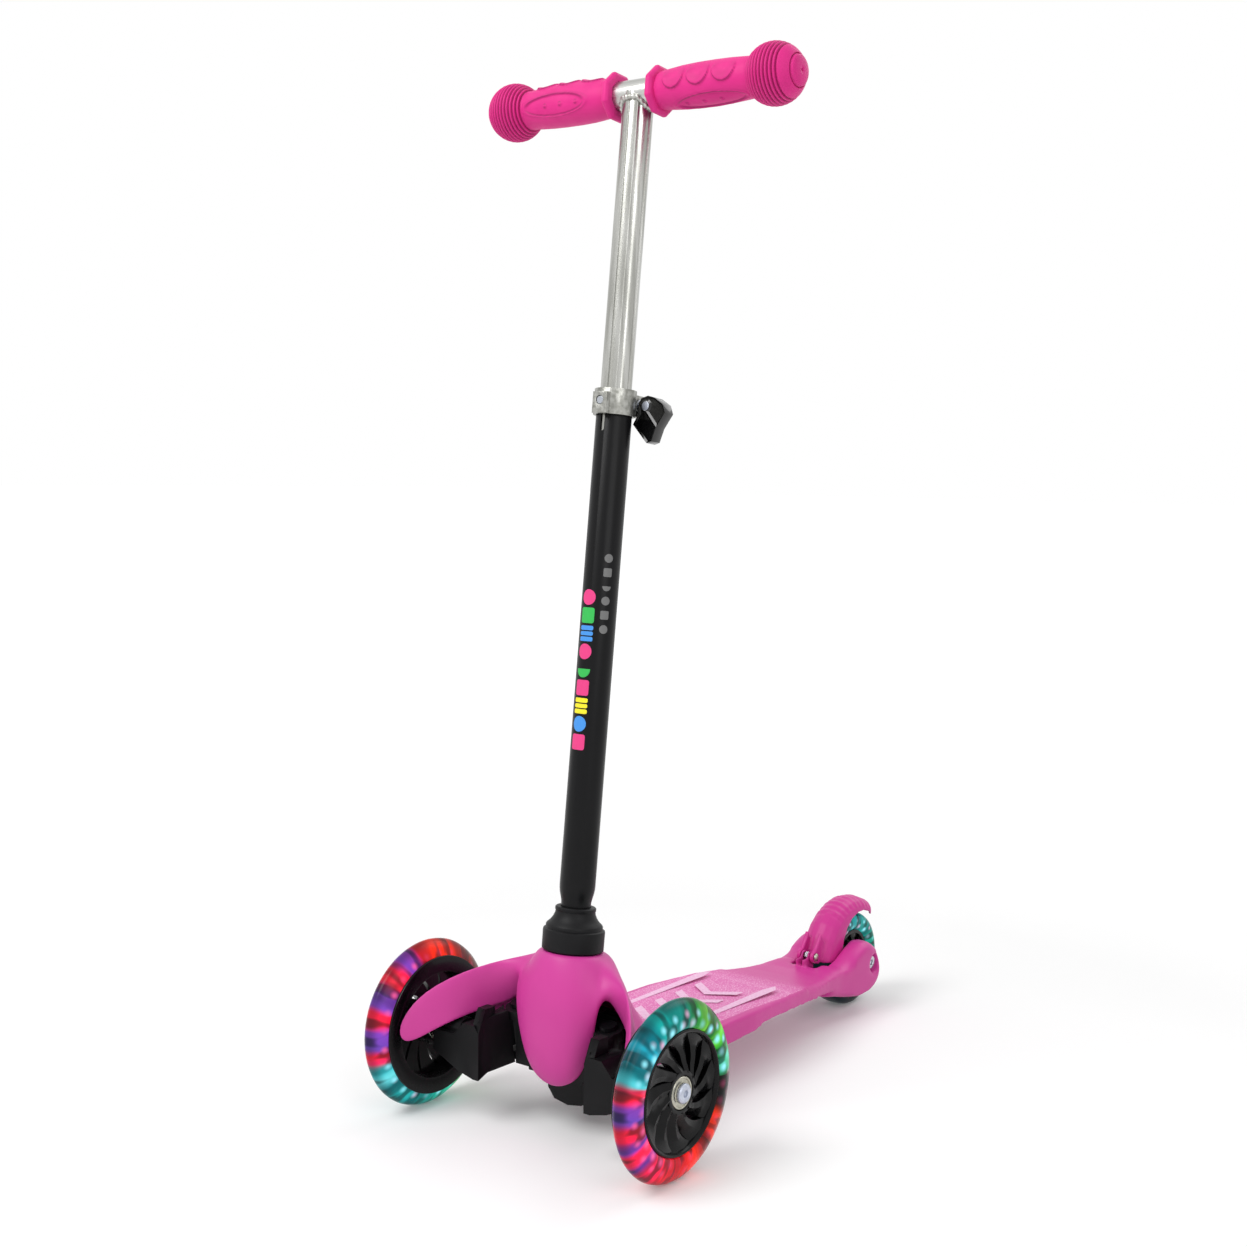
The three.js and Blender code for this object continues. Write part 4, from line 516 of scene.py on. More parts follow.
# Wheels: a profile is (along the axle outwards, radius), a blade table is (radius, size), and the glow runs
# between two radii. The front tyre is rounder and narrower than its CAD solid, as the photograph shows it
frontWheel = {
    "axle": (frontAxleY, frontAxleZ),
    "outerBearing": 1,
    "glow": (0.0415, 0.06),
    "tyre": [(-9.3, 41.9), (-9.3, 47.0), (-8.9, 49.6), (-7.6, 52.4), (-5.9, 55.1), (-4.0, 57.4), (-1.9, 59.2),
             (0.4, 60), (2.6, 59.6), (4.7, 58.3), (6.5, 56.2), (8.0, 53.4), (9.2, 50.1), (9.8, 46.8), (9.6, 44.0),
             (8.9, 42.2), (8.6, 41.9)],
    "rim": [(-11.6, 38), (-11.6, 49.4), (-9.7, 49.5), (-9.7, 41.5), (8.3, 41.5), (9.1, 41.0), (9.3, 40.2),
            (8.9, 39.3), (7.6, 38.6), (6.2, 38), (-2, 37.6), (-9, 37.8)],
    "boss": [(-11.2, 11.3), (-11.2, 14.5), (8.0, 14.5), (8.0, 11.3), (0.7, 11.3), (0.7, 9.3), (-3.9, 9.3),
             (-3.9, 11.3)],
    "bladeCount": 12,
    "sweep": 34,
    "bladeFrom": 13.6,
    "bladeTo": 38.4,
    "bladeSteps": 12,
    "bladeWidth": [(13.6, 7.2), (17, 8.6), (22, 9.4), (27, 11.2), (31, 13.6), (35, 17.2), (37, 19.4), (38.4, 20.6)],
    "bladeFace": [(13.6, 7.4), (20, 4.6), (28, 3.8), (34, 4.4), (38.4, 6.0)],
    "bladeBack": -1.6,
    "pitch": 1.5,
    "segments": 112,
}
rearWheel = {
    "axle": (rearAxleY, rearAxleZ),
    "outerBearing": 4.2,
    "glow": (0.025, 0.04),
    "tyre": [(-8.9, 25.4), (-10.6, 27.2), (-11.7, 30), (-12, 33), (-11.5, 35.8), (-10.0, 38.0), (-7.4, 39.4),
             (-4, 39.9), (0, 40), (4, 39.9), (7.4, 39.4), (10.0, 38.0), (11.5, 35.8), (12, 33), (11.7, 30),
             (10.6, 27.2), (8.9, 25.4)],
    "rim": [(-9, 22), (-9, 25), (9, 25), (9, 22)],
    "boss": [(-11.2, 11.3), (-11.2, 14), (11.2, 14), (11.2, 11.3), (3.9, 11.3), (3.9, 9.3), (-3.9, 9.3),
             (-3.9, 11.3)],
    "bladeCount": 8,
    "sweep": 22,
    "bladeFrom": 13.4,
    "bladeTo": 22.6,
    "bladeSteps": 8,
    "bladeWidth": [(13.4, 10.4), (16, 9.6), (19, 11.6), (21, 14.6), (22.6, 17.6)],
    "bladeFace": [(13.4, 5.5), (18, 3.6), (22.6, 5.5)],
    "bladeBack": -3.0,
    "pitch": 1.2,
    "segments": 96,
}
wheelEdge = (0.35, 40)


def sweptBlade(bm, wheel, start):
    # one curved spoke: its cross-section is pushed outwards, turned and widened step by step
    span = wheel["bladeTo"] - wheel["bladeFrom"]

    def section(share):
        radius = wheel["bladeFrom"] + share * span
        width = blendTable(wheel["bladeWidth"], radius)
        face = blendTable(wheel["bladeFace"], radius)
        turn = start + math.radians(wheel["sweep"]) * share ** 0.8
        tilt = wheel["pitch"] * math.sin(math.pi * share)
        shape = [(-0.5, face - tilt), (-0.28, face + 0.5), (0.1, face + 1.1 + tilt), (0.5, face + tilt),
                 (0.5, wheel["bladeBack"]), (-0.5, wheel["bladeBack"])]
        angles = [turn + across * width / radius for across, along in shape]
        return [(along, radius * math.cos(angle), radius * math.sin(angle))
                for angle, (across, along) in zip(angles, shape)]

    loops = [addLoop(bm, section(i / wheel["bladeSteps"])) for i in range(wheel["bladeSteps"] + 1)]
    bridgeAll(bm, loops)
    bmesh.ops.holes_fill(bm, edges=loops[0] + loops[-1], sides=0)


def makeWheel(wheel, suffix, side, centre, tyreGlow):
    place = Matrix.Translation(centre) @ Matrix.Scale(side, 4, (1, 0, 0))
    turnedPiece("tyre_" + suffix + "_cast", wheel["tyre"], place, tyreGlow, "tyre_" + suffix, sharp=40,
                steps=wheel["segments"], edge=wheelEdge)
    bm = bmesh.new()
    spinProfile(bm, wheel["rim"], steps=wheel["segments"])
    spinProfile(bm, wheel["boss"], steps=64)
    bevelSharp(bm, *wheelEdge)
    for i in range(wheel["bladeCount"]):
        sweptBlade(bm, wheel, fullTurn * i / wheel["bladeCount"])
    placed(bm, place)
    fixNormals(bm)
    settle(objectFrom(bm, "hub_" + suffix + "_swirl"), "hubBlack", "hub_" + suffix, sharp=32)


# One sealed bearing: outer ring, sunken shield, inner ring
bearing = {
    "width": 7,
    "innerFrom": -11.2,
    "profile": [(0, 4.2), (0, 10.9), (6.4, 10.9), (7, 10.5), (7, 9.4), (6.5, 9.2), (6.3, 8.9), (6.3, 6.9),
                (6.5, 6.6), (7, 6.4), (7, 4.6), (6.7, 4.2)],
}


def makeBearing(node, centre, start, side, facing):
    place = Matrix.Translation(centre + Vector((start if side > 0 else -start - bearing["width"], 0, 0)))
    if facing < 0:
        place = place @ Matrix.Translation((bearing["width"], 0, 0)) @ Matrix.Scale(-1, 4, (1, 0, 0))
    turnedPiece(node + "_rings", bearing["profile"], place, "bearingSteel", node, sharp=25, steps=64)


wheels = [
    ("front_right", 1, wheelOut, frontWheel, "glowNear", "nearStops"),
    ("front_left", -1, -wheelOut, frontWheel, "glowFar", "farStops"),
    ("rear", 1, 0, rearWheel, "glowRear", "rearStops"),
]
for suffix, side, out, wheel, glowName, stops in wheels:
    centre = Vector((out, *wheel["axle"]))
    makeWheel(wheel, suffix, side, centre, glowMaterial(glowName, glow[stops], centre, *wheel["glow"]))
    makeBearing("bearing_outer_" + suffix, centre, wheel["outerBearing"], side, side)
    makeBearing("bearing_inner_" + suffix, centre, bearing["innerFrom"], side, -side)
print("wheels made")


# The front cover is one saddle-shaped shell. Each column of points runs from the rim round the stem down to the
# hem, with Y from the front axle. The first is at the middle of the nose, the next ones go past the arch and the
# wing's tip, and the last is at the middle of the rear skirt. Every column starts at its own turn of the rim
cover = {
    "wall": 1.8,
    "holeRadius": 17.8,
    "rimRadius": 22.8,
    "rimHeight": 125.7,
    "stemY": 30.6,
    "lean": 6,
    "rimTurns": [0, 19, 38, 54, 64, 71, 76, 80, 84, 88, 92, 96, 100, 104, 108, 112, 116, 120, 124, 129, 135, 143,
                 154, 167, 180],
    "columns": [
        [(0, 5.5, 123), (0, 1.5, 112), (0, -1.4, 96), (0, -0.8, 75), (0, 1.4, 52), (0, 5.4, 38), (0, 10.5, 33.6)],
        [(8.6, 6, 123), (9.5, 1.9, 112), (10.8, -1, 96), (11, -0.4, 75), (10.5, 1.7, 53), (9, 5.8, 39),
         (8, 10.8, 34.8)],
        [(16, 10, 123), (18.5, 5, 112), (21, 1.2, 97), (21.5, 1, 76), (20.5, 3.4, 55), (17.5, 8, 42),
         (15.4, 12.4, 38.6)],
        [(21.5, 15, 122.6), (25, 9.8, 112), (28, 5.6, 98), (28.6, 5.4, 79), (27.2, 8.4, 61), (24, 12.4, 48),
         (22, 15.2, 45)],
        [(24.2, 19, 122.2), (28.4, 14, 112), (32, 9.4, 99.5), (33, 9, 85), (32, 11.4, 71), (29.8, 14.6, 59.5),
         (28, 16.6, 57)],
        [(25.6, 22, 121.8), (30.2, 17, 112.6), (34, 12.2, 102), (35, 11.4, 91), (34.4, 12.4, 82), (33, 14.4, 75.5),
         (31.4, 15.6, 73.5)],
        [(26.4, 24.5, 121.6), (31, 19.6, 113.2), (35.2, 14.6, 104.5), (36.2, 13.4, 98), (36, 13.6, 93),
         (35.2, 14.2, 90.5), (33.8, 15, 89)],
        [(26.8, 26.5, 121.4), (31.6, 21.6, 113.8), (36, 17.4, 107), (37.4, 16.6, 102.2), (36.8, 17, 99.4),
         (35.8, 17.8, 98), (34.2, 19, 97)],
        [(27, 28.5, 121.3), (32.6, 23.4, 114.6), (38, 19.4, 109), (39.8, 19.2, 105), (39, 20.4, 102),
         (37.4, 21.8, 100.4), (35.6, 23.2, 99.6)],
        [(27.2, 30.2, 121.2), (34, 25, 115.2), (41.4, 20.6, 110.6), (43.8, 20.2, 105.4), (42.6, 22.2, 100.4),
         (40.4, 24.8, 96.8), (38.6, 26.8, 95.6)],
        [(27.3, 32, 121.1), (35.6, 26.6, 115.6), (46, 20.6, 111.4), (49.8, 18.6, 105.4), (48.8, 20.8, 97),
         (45.4, 26, 89.8), (43.2, 28.4, 87.8)],
        [(27.2, 34, 121), (37.2, 28.2, 115.6), (51, 19.8, 111.6), (56.8, 15, 104.6), (56, 17.2, 93),
         (52.4, 23.6, 84), (50.2, 26, 81.6)],
        [(27, 35.8, 120.9), (38.4, 29.8, 115.4), (56, 17.6, 111), (64.4, 8.6, 103), (63.8, 9.8, 89.8),
         (59.4, 16.6, 80.6), (57.2, 19.4, 78.6)],
        [(26.8, 37.6, 120.8), (39.2, 31.6, 115), (60.6, 14.2, 110), (75.4, -3.4, 101), (75, -5.4, 86.4),
         (69.6, 0.6, 76.3), (67.2, 4, 74.4)],
        [(26.4, 39.6, 120.7), (39.2, 33.6, 114.2), (63.4, 13.4, 109), (84.8, -13.4, 98), (86, -20.4, 80.6),
         (81.8, -20, 69.2), (79.6, -17.8, 67)],
        [(26, 41.4, 120.5), (38.8, 35.6, 113.2), (64, 14.8, 107.6), (90, -18.8, 95.6), (93.8, -33.6, 77),
         (91, -36.4, 61.6), (88.2, -33.6, 58.4)],
        [(25.4, 43.2, 120.3), (37.8, 37.6, 112), (62.6, 16.8, 105.6), (90.6, -17, 93.6), (97.4, -38, 80),
         (97.6, -48, 65.4), (93.6, -43.4, 56.8)],
        [(24.8, 44.8, 120.1), (36.4, 39.8, 110.8), (59.6, 20, 103.2), (86.6, -7.4, 91), (95.6, -25, 78),
         (97, -32, 66), (94.6, -31, 61)],
        [(24, 46.4, 119.9), (34.8, 42.4, 109.4), (53.6, 25.6, 99.6), (74.6, 7, 88.8), (83.8, -2, 80.6),
         (85.6, -4.4, 75), (83.8, -4, 71.8)],
        [(23, 48, 119.7), (32.4, 45.2, 107.8), (45.2, 33.2, 95.6), (58.8, 23.4, 86), (66.2, 18, 81),
         (68, 16.8, 77.6), (67, 17.4, 75)],
        [(21.6, 49.8, 119.4), (29.6, 48.6, 106.2), (36.8, 43.2, 93), (45.6, 39.2, 81.2), (52.6, 38.2, 71.4),
         (55.2, 38.4, 64.2), (54.6, 40, 60)],
        [(19.2, 52, 119), (26.4, 53, 105.2), (33.1, 52.5, 92.6), (42.2, 51.8, 81.8), (50.6, 52.7, 69.9),
         (53.8, 53.9, 60.7), (53.6, 54.2, 56.5)],
        [(14.8, 55.2, 118.4), (20.8, 58.4, 104.4), (26.4, 60.9, 91.1), (33.7, 63.9, 79.3), (41.6, 68.8, 67.6),
         (46.1, 71.9, 60.4), (46.2, 72.1, 56.5)],
        [(8.2, 57.8, 118), (11.6, 62, 103.8), (14.8, 66.2, 89.4), (18, 70.4, 76.4), (21.4, 75, 65), (23.8, 77.2, 60),
         (24.2, 77, 56.5)],
        [(0, 58.9, 117.8), (0, 63.2, 103.6), (0, 67.6, 89), (0, 72, 76), (0, 76, 65), (0, 77.2, 60), (0, 77, 56.5)],
    ],
}


def makeCover():
    slope = math.tan(math.radians(cover["lean"]))
    bm = bmesh.new()
    strips = []
    for angle, column in zip(cover["rimTurns"], cover["columns"]):
        turn = math.radians(angle)
        points = []
        for radius in (cover["holeRadius"], cover["rimRadius"]):
            behind = -radius * math.cos(turn)
            points.append((radius * math.sin(turn), cover["stemY"] + behind, cover["rimHeight"] - behind * slope))
        verts = [bm.verts.new(point) for point in points + column]
        strips.append([bm.edges.new(pair) for pair in zip(verts, verts[1:])])
    bridgeAll(bm, strips)
    bmesh.ops.mirror(bm, geom=everything(bm), axis="X", merge_dist=0.01)
    bmesh.ops.remove_doubles(bm, verts=bm.verts[:], dist=0.01)
    bmesh.ops.recalc_face_normals(bm, faces=bm.faces[:])
    # the shell is still open, so its rear skirt tells whether its faces point outwards
    rear = max(bm.faces, key=lambda face: face.calc_center_median().y)
    if rear.normal.y < 0:
        bmesh.ops.reverse_faces(bm, faces=bm.faces[:])
    placed(bm, Matrix.Translation((0, frontAxleY, 0)))
    made = objectFrom(bm, "front_cover_shell")
    applied(made, "SOLIDIFY", thickness=cover["wall"], offset=-1, use_even_offset=True, use_quality_normals=True)
    applied(made, "SUBSURF", levels=2, render_levels=2)
    settle(made, "coverPink", "front_cover", sharp=60)


makeCover()
print("front cover made")


deck = {
    "voxel": 1.25,
    # (passes, from, to, out of the middle, up): first the ears, then the plate's sweep into them, then everything
    "smoothing": [(14, 105, math.inf, 17.5, 22), (60, 84, 178, 21, 44), (4, -math.inf, math.inf, -1, -math.inf)],
    "top": 56,
    # the grit lies up to this far back, out and up
    "matTo": 0.085,
    "matHalf": 0.0475,
    "matHeight": (0.042, 0.045),
    "color": "#cc3493",
    "shade": "#c02c88",
    "matTint": "#e07cb8",
    "grit": "#f3c3e0",
    "gritScale": 620,
}


def deckMaterial():
    # the same pink, with a pale grit printed over the standing area
    made, tree, shader = startMaterial("deckPink")
    grainy = grainOf(tree, deck["color"], deck["shade"], rough=(0.36, 0.46), scale=16, grain=1400, spread=0.4)
    place = objectPlace(tree)
    x, y, z = partsOf(tree, place)
    half, end = deck["matHalf"], deck["matTo"]
    side = mapRange(tree, math2(tree, "ABSOLUTE", x), half - 0.002, half, 1.0, 0.0, smooth=True)
    backEnd = mapRange(tree, y, end - 0.03, end + 0.012, 1.0, 0.0, smooth=True)
    normal = addNode(tree, "ShaderNodeNewGeometry").outputs["Normal"]
    facing = mapRange(tree, partsOf(tree, normal)[2], 0.85, 0.95, smooth=True)
    high = mapRange(tree, z, *deck["matHeight"])
    mask = times(tree, times(tree, side, backEnd), times(tree, facing, high))
    dots = addNode(tree, "ShaderNodeTexVoronoi", {"Scale": deck["gritScale"], "Randomness": 0.75, "Vector": place},
                   feature="F1")
    grit = times(tree, mapRange(tree, dots.outputs["Distance"], 0.26, 0.46, 1.0, 0.0, smooth=True), mask)
    colors = mixColor(tree, times(tree, mask, 0.8), grainy["Color"], tint(deck["matTint"]))
    feed(tree, shader, {
        "Base Color": mixColor(tree, times(tree, grit, 0.75), colors, tint(deck["grit"])),
        "Roughness": mixColor(tree, mask, grainy["Roughness"], (0.62, 0.62, 0.62, 1)),
        "Normal": bumpOf(tree, plus(tree, grit, times(tree, grainy["Height"], 0.2)), strength=0.35, distance=0.0002),
        "Specular IOR Level": 0.4})
    return made


def makeDeck():
    made = mouldedCopy("deck", deck["voxel"], 0)
    bm = meshOf(made)
    for passes, low, high, out, up in deck["smoothing"]:
        smoothWhere(bm, passes, lambda p: low < p.y < high and abs(p.x) > out and p.z > up)
    takeBack(made, bm)
    settle(made, deckMaterial(), "deck", sharp=50)


makeDeck()
print("deck made")


# Pale print on the deck: plain chevrons between two tapering stripes
pattern = {
    "thickness": 0.14,
    "chevrons": [-62, -36, -10, 16],
    "half": 20,
    "depth": 15,
    "width": 9,
    "stripe": [(30, -100), (33.2, -94), (36.5, 46), (31, 54), (28, 40)],
    "color": "#efc4e0",
    "shade": "#df9cc8",
}


def printMaterial(name, color, shade):
    return grainyMaterial(name, color, shade, (0.45, 0.6), scale=500, spread=0.55, bump=0.15)


def flatShape(bm, points):
    face = bm.faces.new([bm.verts.new((x, y, deck["top"])) for x, y in points])
    raiseFaces(bm, [face], (0, 0, pattern["thickness"]))


def makeDeckPrint():
    bm = bmesh.new()
    half, depth, width = pattern["half"], pattern["depth"], pattern["width"]
    for y in pattern["chevrons"]:
        flatShape(bm, [(0, y - depth), (half, y), (half, y + width), (0, y + width - depth), (-half, y + width),
                       (-half, y)])
    for side in (1, -1):
        flatShape(bm, [(side * out, along) for out, along in pattern["stripe"]])
    fixNormals(bm)
    look = printMaterial("deckPrint", pattern["color"], pattern["shade"])
    settle(objectFrom(bm, "deck_print"), look, None, sharp=30)


makeDeckPrint()
print("deck print made")


fender = {
    "voxel": 1.0,
    "passes": 4,
    "ribFrom": 62,
    "ribTo": 128,
    "ribCount": 9,
    "ribDepth": 0.45,
    "ribsBeyond": 46,
}


def makeFender():
    made = mouldedCopy("brake_fender", fender["voxel"], fender["passes"])
    bm = meshOf(made)
    start, end = math.radians(fender["ribFrom"]), math.radians(fender["ribTo"])
    for v in bm.verts:
        behind, up = v.co.y - rearAxleY, v.co.z - rearAxleZ
        angle = math.atan2(up, behind)
        outward = Vector((0, math.cos(angle), math.sin(angle)))
        if start < angle < end and math.hypot(up, behind) > fender["ribsBeyond"] and v.normal.dot(outward) > 0.3:
            wave = math.sin(math.pi * fender["ribCount"] * (angle - start) / (end - start)) ** 2
            v.co -= v.normal * fender["ribDepth"] * wave
    takeBack(made, bm)
    settle(made, "fenderPink", "brake_fender", sharp=50)


makeFender()
print("fender made")


for node in ("front_chassis", "steering_arm_right", "steering_arm_left"):
    settle(edgedCopy(node, width=0.8, limit=28, segments=3), "blackMoulding", node, sharp=32)
print("chassis and arms made")


lowerTube = {
    "profile": [(-58, 9.15), (-58, 10.4), (31, 10.4), (34, 10.55), (37, 11.2), (40, 11.95), (43, 12.4), (46, 12.5),
                (386, 12.5), (386, 11.25), (45, 11.25), (33, 9.15)],
    "slotHalf": 1.6,
    "slotFoot": 361.6,
    "slotTop": 390,
    "outer": 12.5,
}


def makeLowerTube():
    bm = bmesh.new()
    spinProfile(bm, lowerTube["profile"], "Z")
    bevelSharp(bm, width=0.25, limit=50)
    fixNormals(bm)
    tube = objectFrom(bm, "lower_tube_painted")
    # the slot with its round foot is cut through the front wall
    half, foot, top = lowerTube["slotHalf"], lowerTube["slotFoot"], lowerTube["slotTop"]
    points = [(half, 0, top), (-half, 0, top)]
    for i in range(13):
        turn = math.pi + math.pi * i / 12
        points.append((half * math.cos(turn), 0, foot + half * math.sin(turn)))
    bm = bmesh.new()
    face = bm.faces.new([bm.verts.new(p) for p in points])
    raiseFaces(bm, [face], (0, -20, 0))
    placed(bm, Matrix.Translation((0, -5, 0)))
    fixNormals(bm)
    cutter = objectFrom(bm, "slot_cutter")
    applied(tube, "BOOLEAN", operation="DIFFERENCE", object=cutter, solver="MANIFOLD")
    dropObject(cutter)
    tube.data.transform(stemMatrix)
    settle(tube, "blackPaint", "lower_tube", sharp=35)


makeLowerTube()

collar = {
    "profile": [(0.3, 10.7), (0.3, 20.9), (1.0, 21.6), (13.6, 21.7), (14.6, 21.4), (15.1, 20.6), (15.4, 19.9),
                (17.4, 19.9), (18.4, 19.3), (20.0, 17.4), (22.4, 15.6), (25.2, 14.3), (27.2, 13.9), (28.0, 14.3),
                (29.6, 14.3), (30.3, 13.6), (30.3, 10.7)],
}
turnedPiece("stem_collar_turned", collar["profile"], stemMatrix, "collarBlack", "stem_collar",
            sharp=32, axis="Z")

bar = {
    "radius": 10.5,
    "profile": [(-124, 8.9), (-124, 10.5), (124, 10.5), (124, 8.9)],
}
turnedPiece("handlebar_tube_turned", bar["profile"], barMatrix, "barAluminium", "handlebar_tube",
            sharp=35, edge=(0.3, 50))

upperTube = {
    "radius": 10.9,
    "inner": 9.1,
    "flutes": 8,
    "perFlute": 12,
    "depths": {0: 0.85, 1: 0.6, 2: 0.08},  # by steps from the flute's middle
    "from": 294,
    "intoBar": 0.4,
}


def saddle(y):
    # height of the handlebar's underside, y behind the stem's middle
    return barHeight - math.sqrt(max(0.0, bar["radius"] ** 2 - y * y))


def makeUpperTube():
    bm = bmesh.new()
    around = upperTube["perFlute"]
    count = upperTube["flutes"] * around
    feet, tops = [], []
    for radius, fluted in ((upperTube["radius"], True), (upperTube["inner"], False)):
        ring = bmesh.ops.create_circle(bm, cap_ends=False, segments=count, radius=radius)["verts"]
        ring.sort(key=lambda v: math.atan2(v.co.y, v.co.x) % fullTurn)
        if fluted:
            for i, v in enumerate(ring):
                v.co *= 1 - upperTube["depths"].get(min(i % around, -i % around), 0) / radius
        low = [e for e in bm.edges if e.verts[0] in ring and e.verts[1] in ring]
        bmesh.ops.translate(bm, vec=(0, 0, upperTube["from"]), verts=ring)
        pushed = bmesh.ops.extrude_edge_only(bm, edges=low)["geom"]
        for v in vertsIn(pushed):
            v.co.z = saddle(v.co.y) + upperTube["intoBar"]
        feet += low
        tops += edgesIn(pushed)
    bmesh.ops.bridge_loops(bm, edges=feet)
    bmesh.ops.bridge_loops(bm, edges=tops)
    placed(bm, stemMatrix)
    fixNormals(bm)
    settle(objectFrom(bm, "upper_tube_fluted"), "tubeAluminium", "upper_tube", sharp=20)


makeUpperTube()

weld = {
    "radius": 2.1,
    "out": 11.2,
    "widest": 9.6,
    "sunk": 0.5,
    "steps": 120,
    "sides": 10,
    "beads": 26,
    "ripple": 0.28,
}


def makeWeld():
    # a rippled bead along the saddle where the two tubes meet
    bm = bmesh.new()
    ring = [fullTurn * k / weld["sides"] for k in range(weld["sides"])]
    loops = []
    for i in range(weld["steps"]):
        turn = fullTurn * i / weld["steps"]
        outward = Vector((math.cos(turn), math.sin(turn), 0))
        centre = weld["out"] * outward
        centre.z = saddle(min(abs(centre.y), weld["widest"])) - weld["sunk"]
        radius = weld["radius"] + weld["ripple"] * math.cos(turn * weld["beads"])
        loops.append(addLoop(bm, [centre + radius * (outward * math.cos(a) + Vector((0, 0, math.sin(a))))
                                  for a in ring]))
    bridgeAll(bm, loops + loops[:1])
    placed(bm, stemMatrix)
    fixNormals(bm)
    settle(objectFrom(bm, "weld_bead_laid"), "weldAluminium", "weld_bead", sharp=60)


makeWeld()
print("tubes made")


# A grip: places are along the handlebar, angles are in degrees round it from the front
grip = {
    "flange": [(15.5, 10.8), (15.5, 15.4), (17.2, 17.6), (20.0, 17.6), (21.6, 15.6), (21.9, 10.8)],
    "body": [(21.2, 12.6), (24, 13.1), (30, 13.7), (40, 14.6), (52, 15.0), (66, 15.0), (78, 14.7), (88, 14.1),
             (96.1, 13.5)],
    "bodyStep": 0.8,
    "bore": 10.8,
    "flangeSides": 8,
    "ballCentre": 112,
    "ballRadius": 20.8,
    "ballSteps": 110,
    "ribFrom": -0.86,
    "ribTo": 0.62,
    "ribCount": 11,
    "ribDepth": 1.35,
    "discRadius": 11.4,
    "discDepth": 4.2,
    "discGroove": (10.3, 11.2),
    "endFace": 132.6,
    "disc": [(-3.9, 10.9), (-3.9, 10.5), (-1.7, 10.1), (-1.1, 9.3), (-0.4, 6.4), (0, 3.2), (0, 1.7), (-0.4, 1.2),
             (-1.3, 0.9), (-1.4, 0)],
    "steps": 160,
    # edges of the relief are (nothing, whole), as shares of the pad or in millimetres from a spot's middle
    "relief": (23, 95.5),
    "reliefFade": 4,
    "perDegree": 0.26,
    "padAngle": {1: -72, -1: -14},
    "padMiddle": 66,
    "padHalf": 28,
    "padSpread": 30,
    "padDepth": 0.9,
    "padEdge": (1.0, 0.9),
    "padRim": 0.35,
    "padRimAt": 1.05,
    "padRimWidth": 0.06,
    "dimples": [46, 60, 74],
    "dimpleLift": 0.75,
    "dimpleEdge": (1.9, 0.6),
    "scaleAngle": {1: 17, -1: 78},
    "scalePlaces": [38.5, 59, 79.5],
    "scaleLift": 1.15,
    "scaleEdge": (9.3, 8.7),
    "scaleHollow": (8.7, 2.0),
    "scaleFade": (5.5, -2.0),
    # painted shade for the grooves and the relief's edges: its colour, how much of it is mixed in, and the step and
    # gain that find the edges
    "creaseShadeColor": "#860c50",
    "creaseShadeShare": 0.75,
    "creaseShadeStep": 3.5,
    "creaseShadeGain": 1.3,
}


def gripProfile():
    # the body, the ribbed ball and the sunken disc at its end
    points = []
    x, bodyEnd = grip["body"][0][0], grip["body"][-1]
    while x < bodyEnd[0]:
        points.append((x, blendTable(grip["body"], x)))
        x += grip["bodyStep"]
    start = -math.acos(bodyEnd[1] / grip["ballRadius"])
    end = math.acos(grip["discRadius"] / grip["ballRadius"])
    for i in range(grip["ballSteps"] + 1):
        turn = start + (end - start) * i / grip["ballSteps"]
        share = held((turn - grip["ribFrom"]) / (grip["ribTo"] - grip["ribFrom"]))
        cut = grip["ribDepth"] * (0.5 - 0.5 * math.cos(fullTurn * grip["ribCount"] * share)) ** 1.5
        radius = grip["ballRadius"] - cut
        points.append((grip["ballCentre"] + radius * math.sin(turn), radius * math.cos(turn)))
    return points + [(grip["endFace"] + along, radius) for along, radius in grip["disc"]]


def wrapped(angle):
    return (angle + 180) % 360 - 180


def reliefOf(x, angle, side):
    # how far the palm pad, its dots and the three scales stand out of the grip's body
    padTurn = wrapped(angle - grip["padAngle"][side])
    up = wrapped(angle - grip["scaleAngle"][side]) * grip["perDegree"]
    out = math.hypot((x - grip["padMiddle"]) / grip["padHalf"], padTurn / grip["padSpread"])
    lift = grip["padRim"] * math.exp(-((out - grip["padRimAt"]) / grip["padRimWidth"]) ** 2)
    lift -= grip["padDepth"] * smoothStep(*grip["padEdge"], out)
    for place in grip["dimples"]:
        near = math.hypot(x - place, padTurn * grip["perDegree"])
        lift += grip["dimpleLift"] * smoothStep(*grip["dimpleEdge"], near)
    for place in grip["scalePlaces"]:
        near = math.hypot(x - place, up)
        shape = smoothStep(*grip["scaleEdge"], near) * (1 - 0.9 * smoothStep(*grip["scaleHollow"], near))
        lift += grip["scaleLift"] * smoothStep(*grip["scaleFade"], up) * shape
    return lift


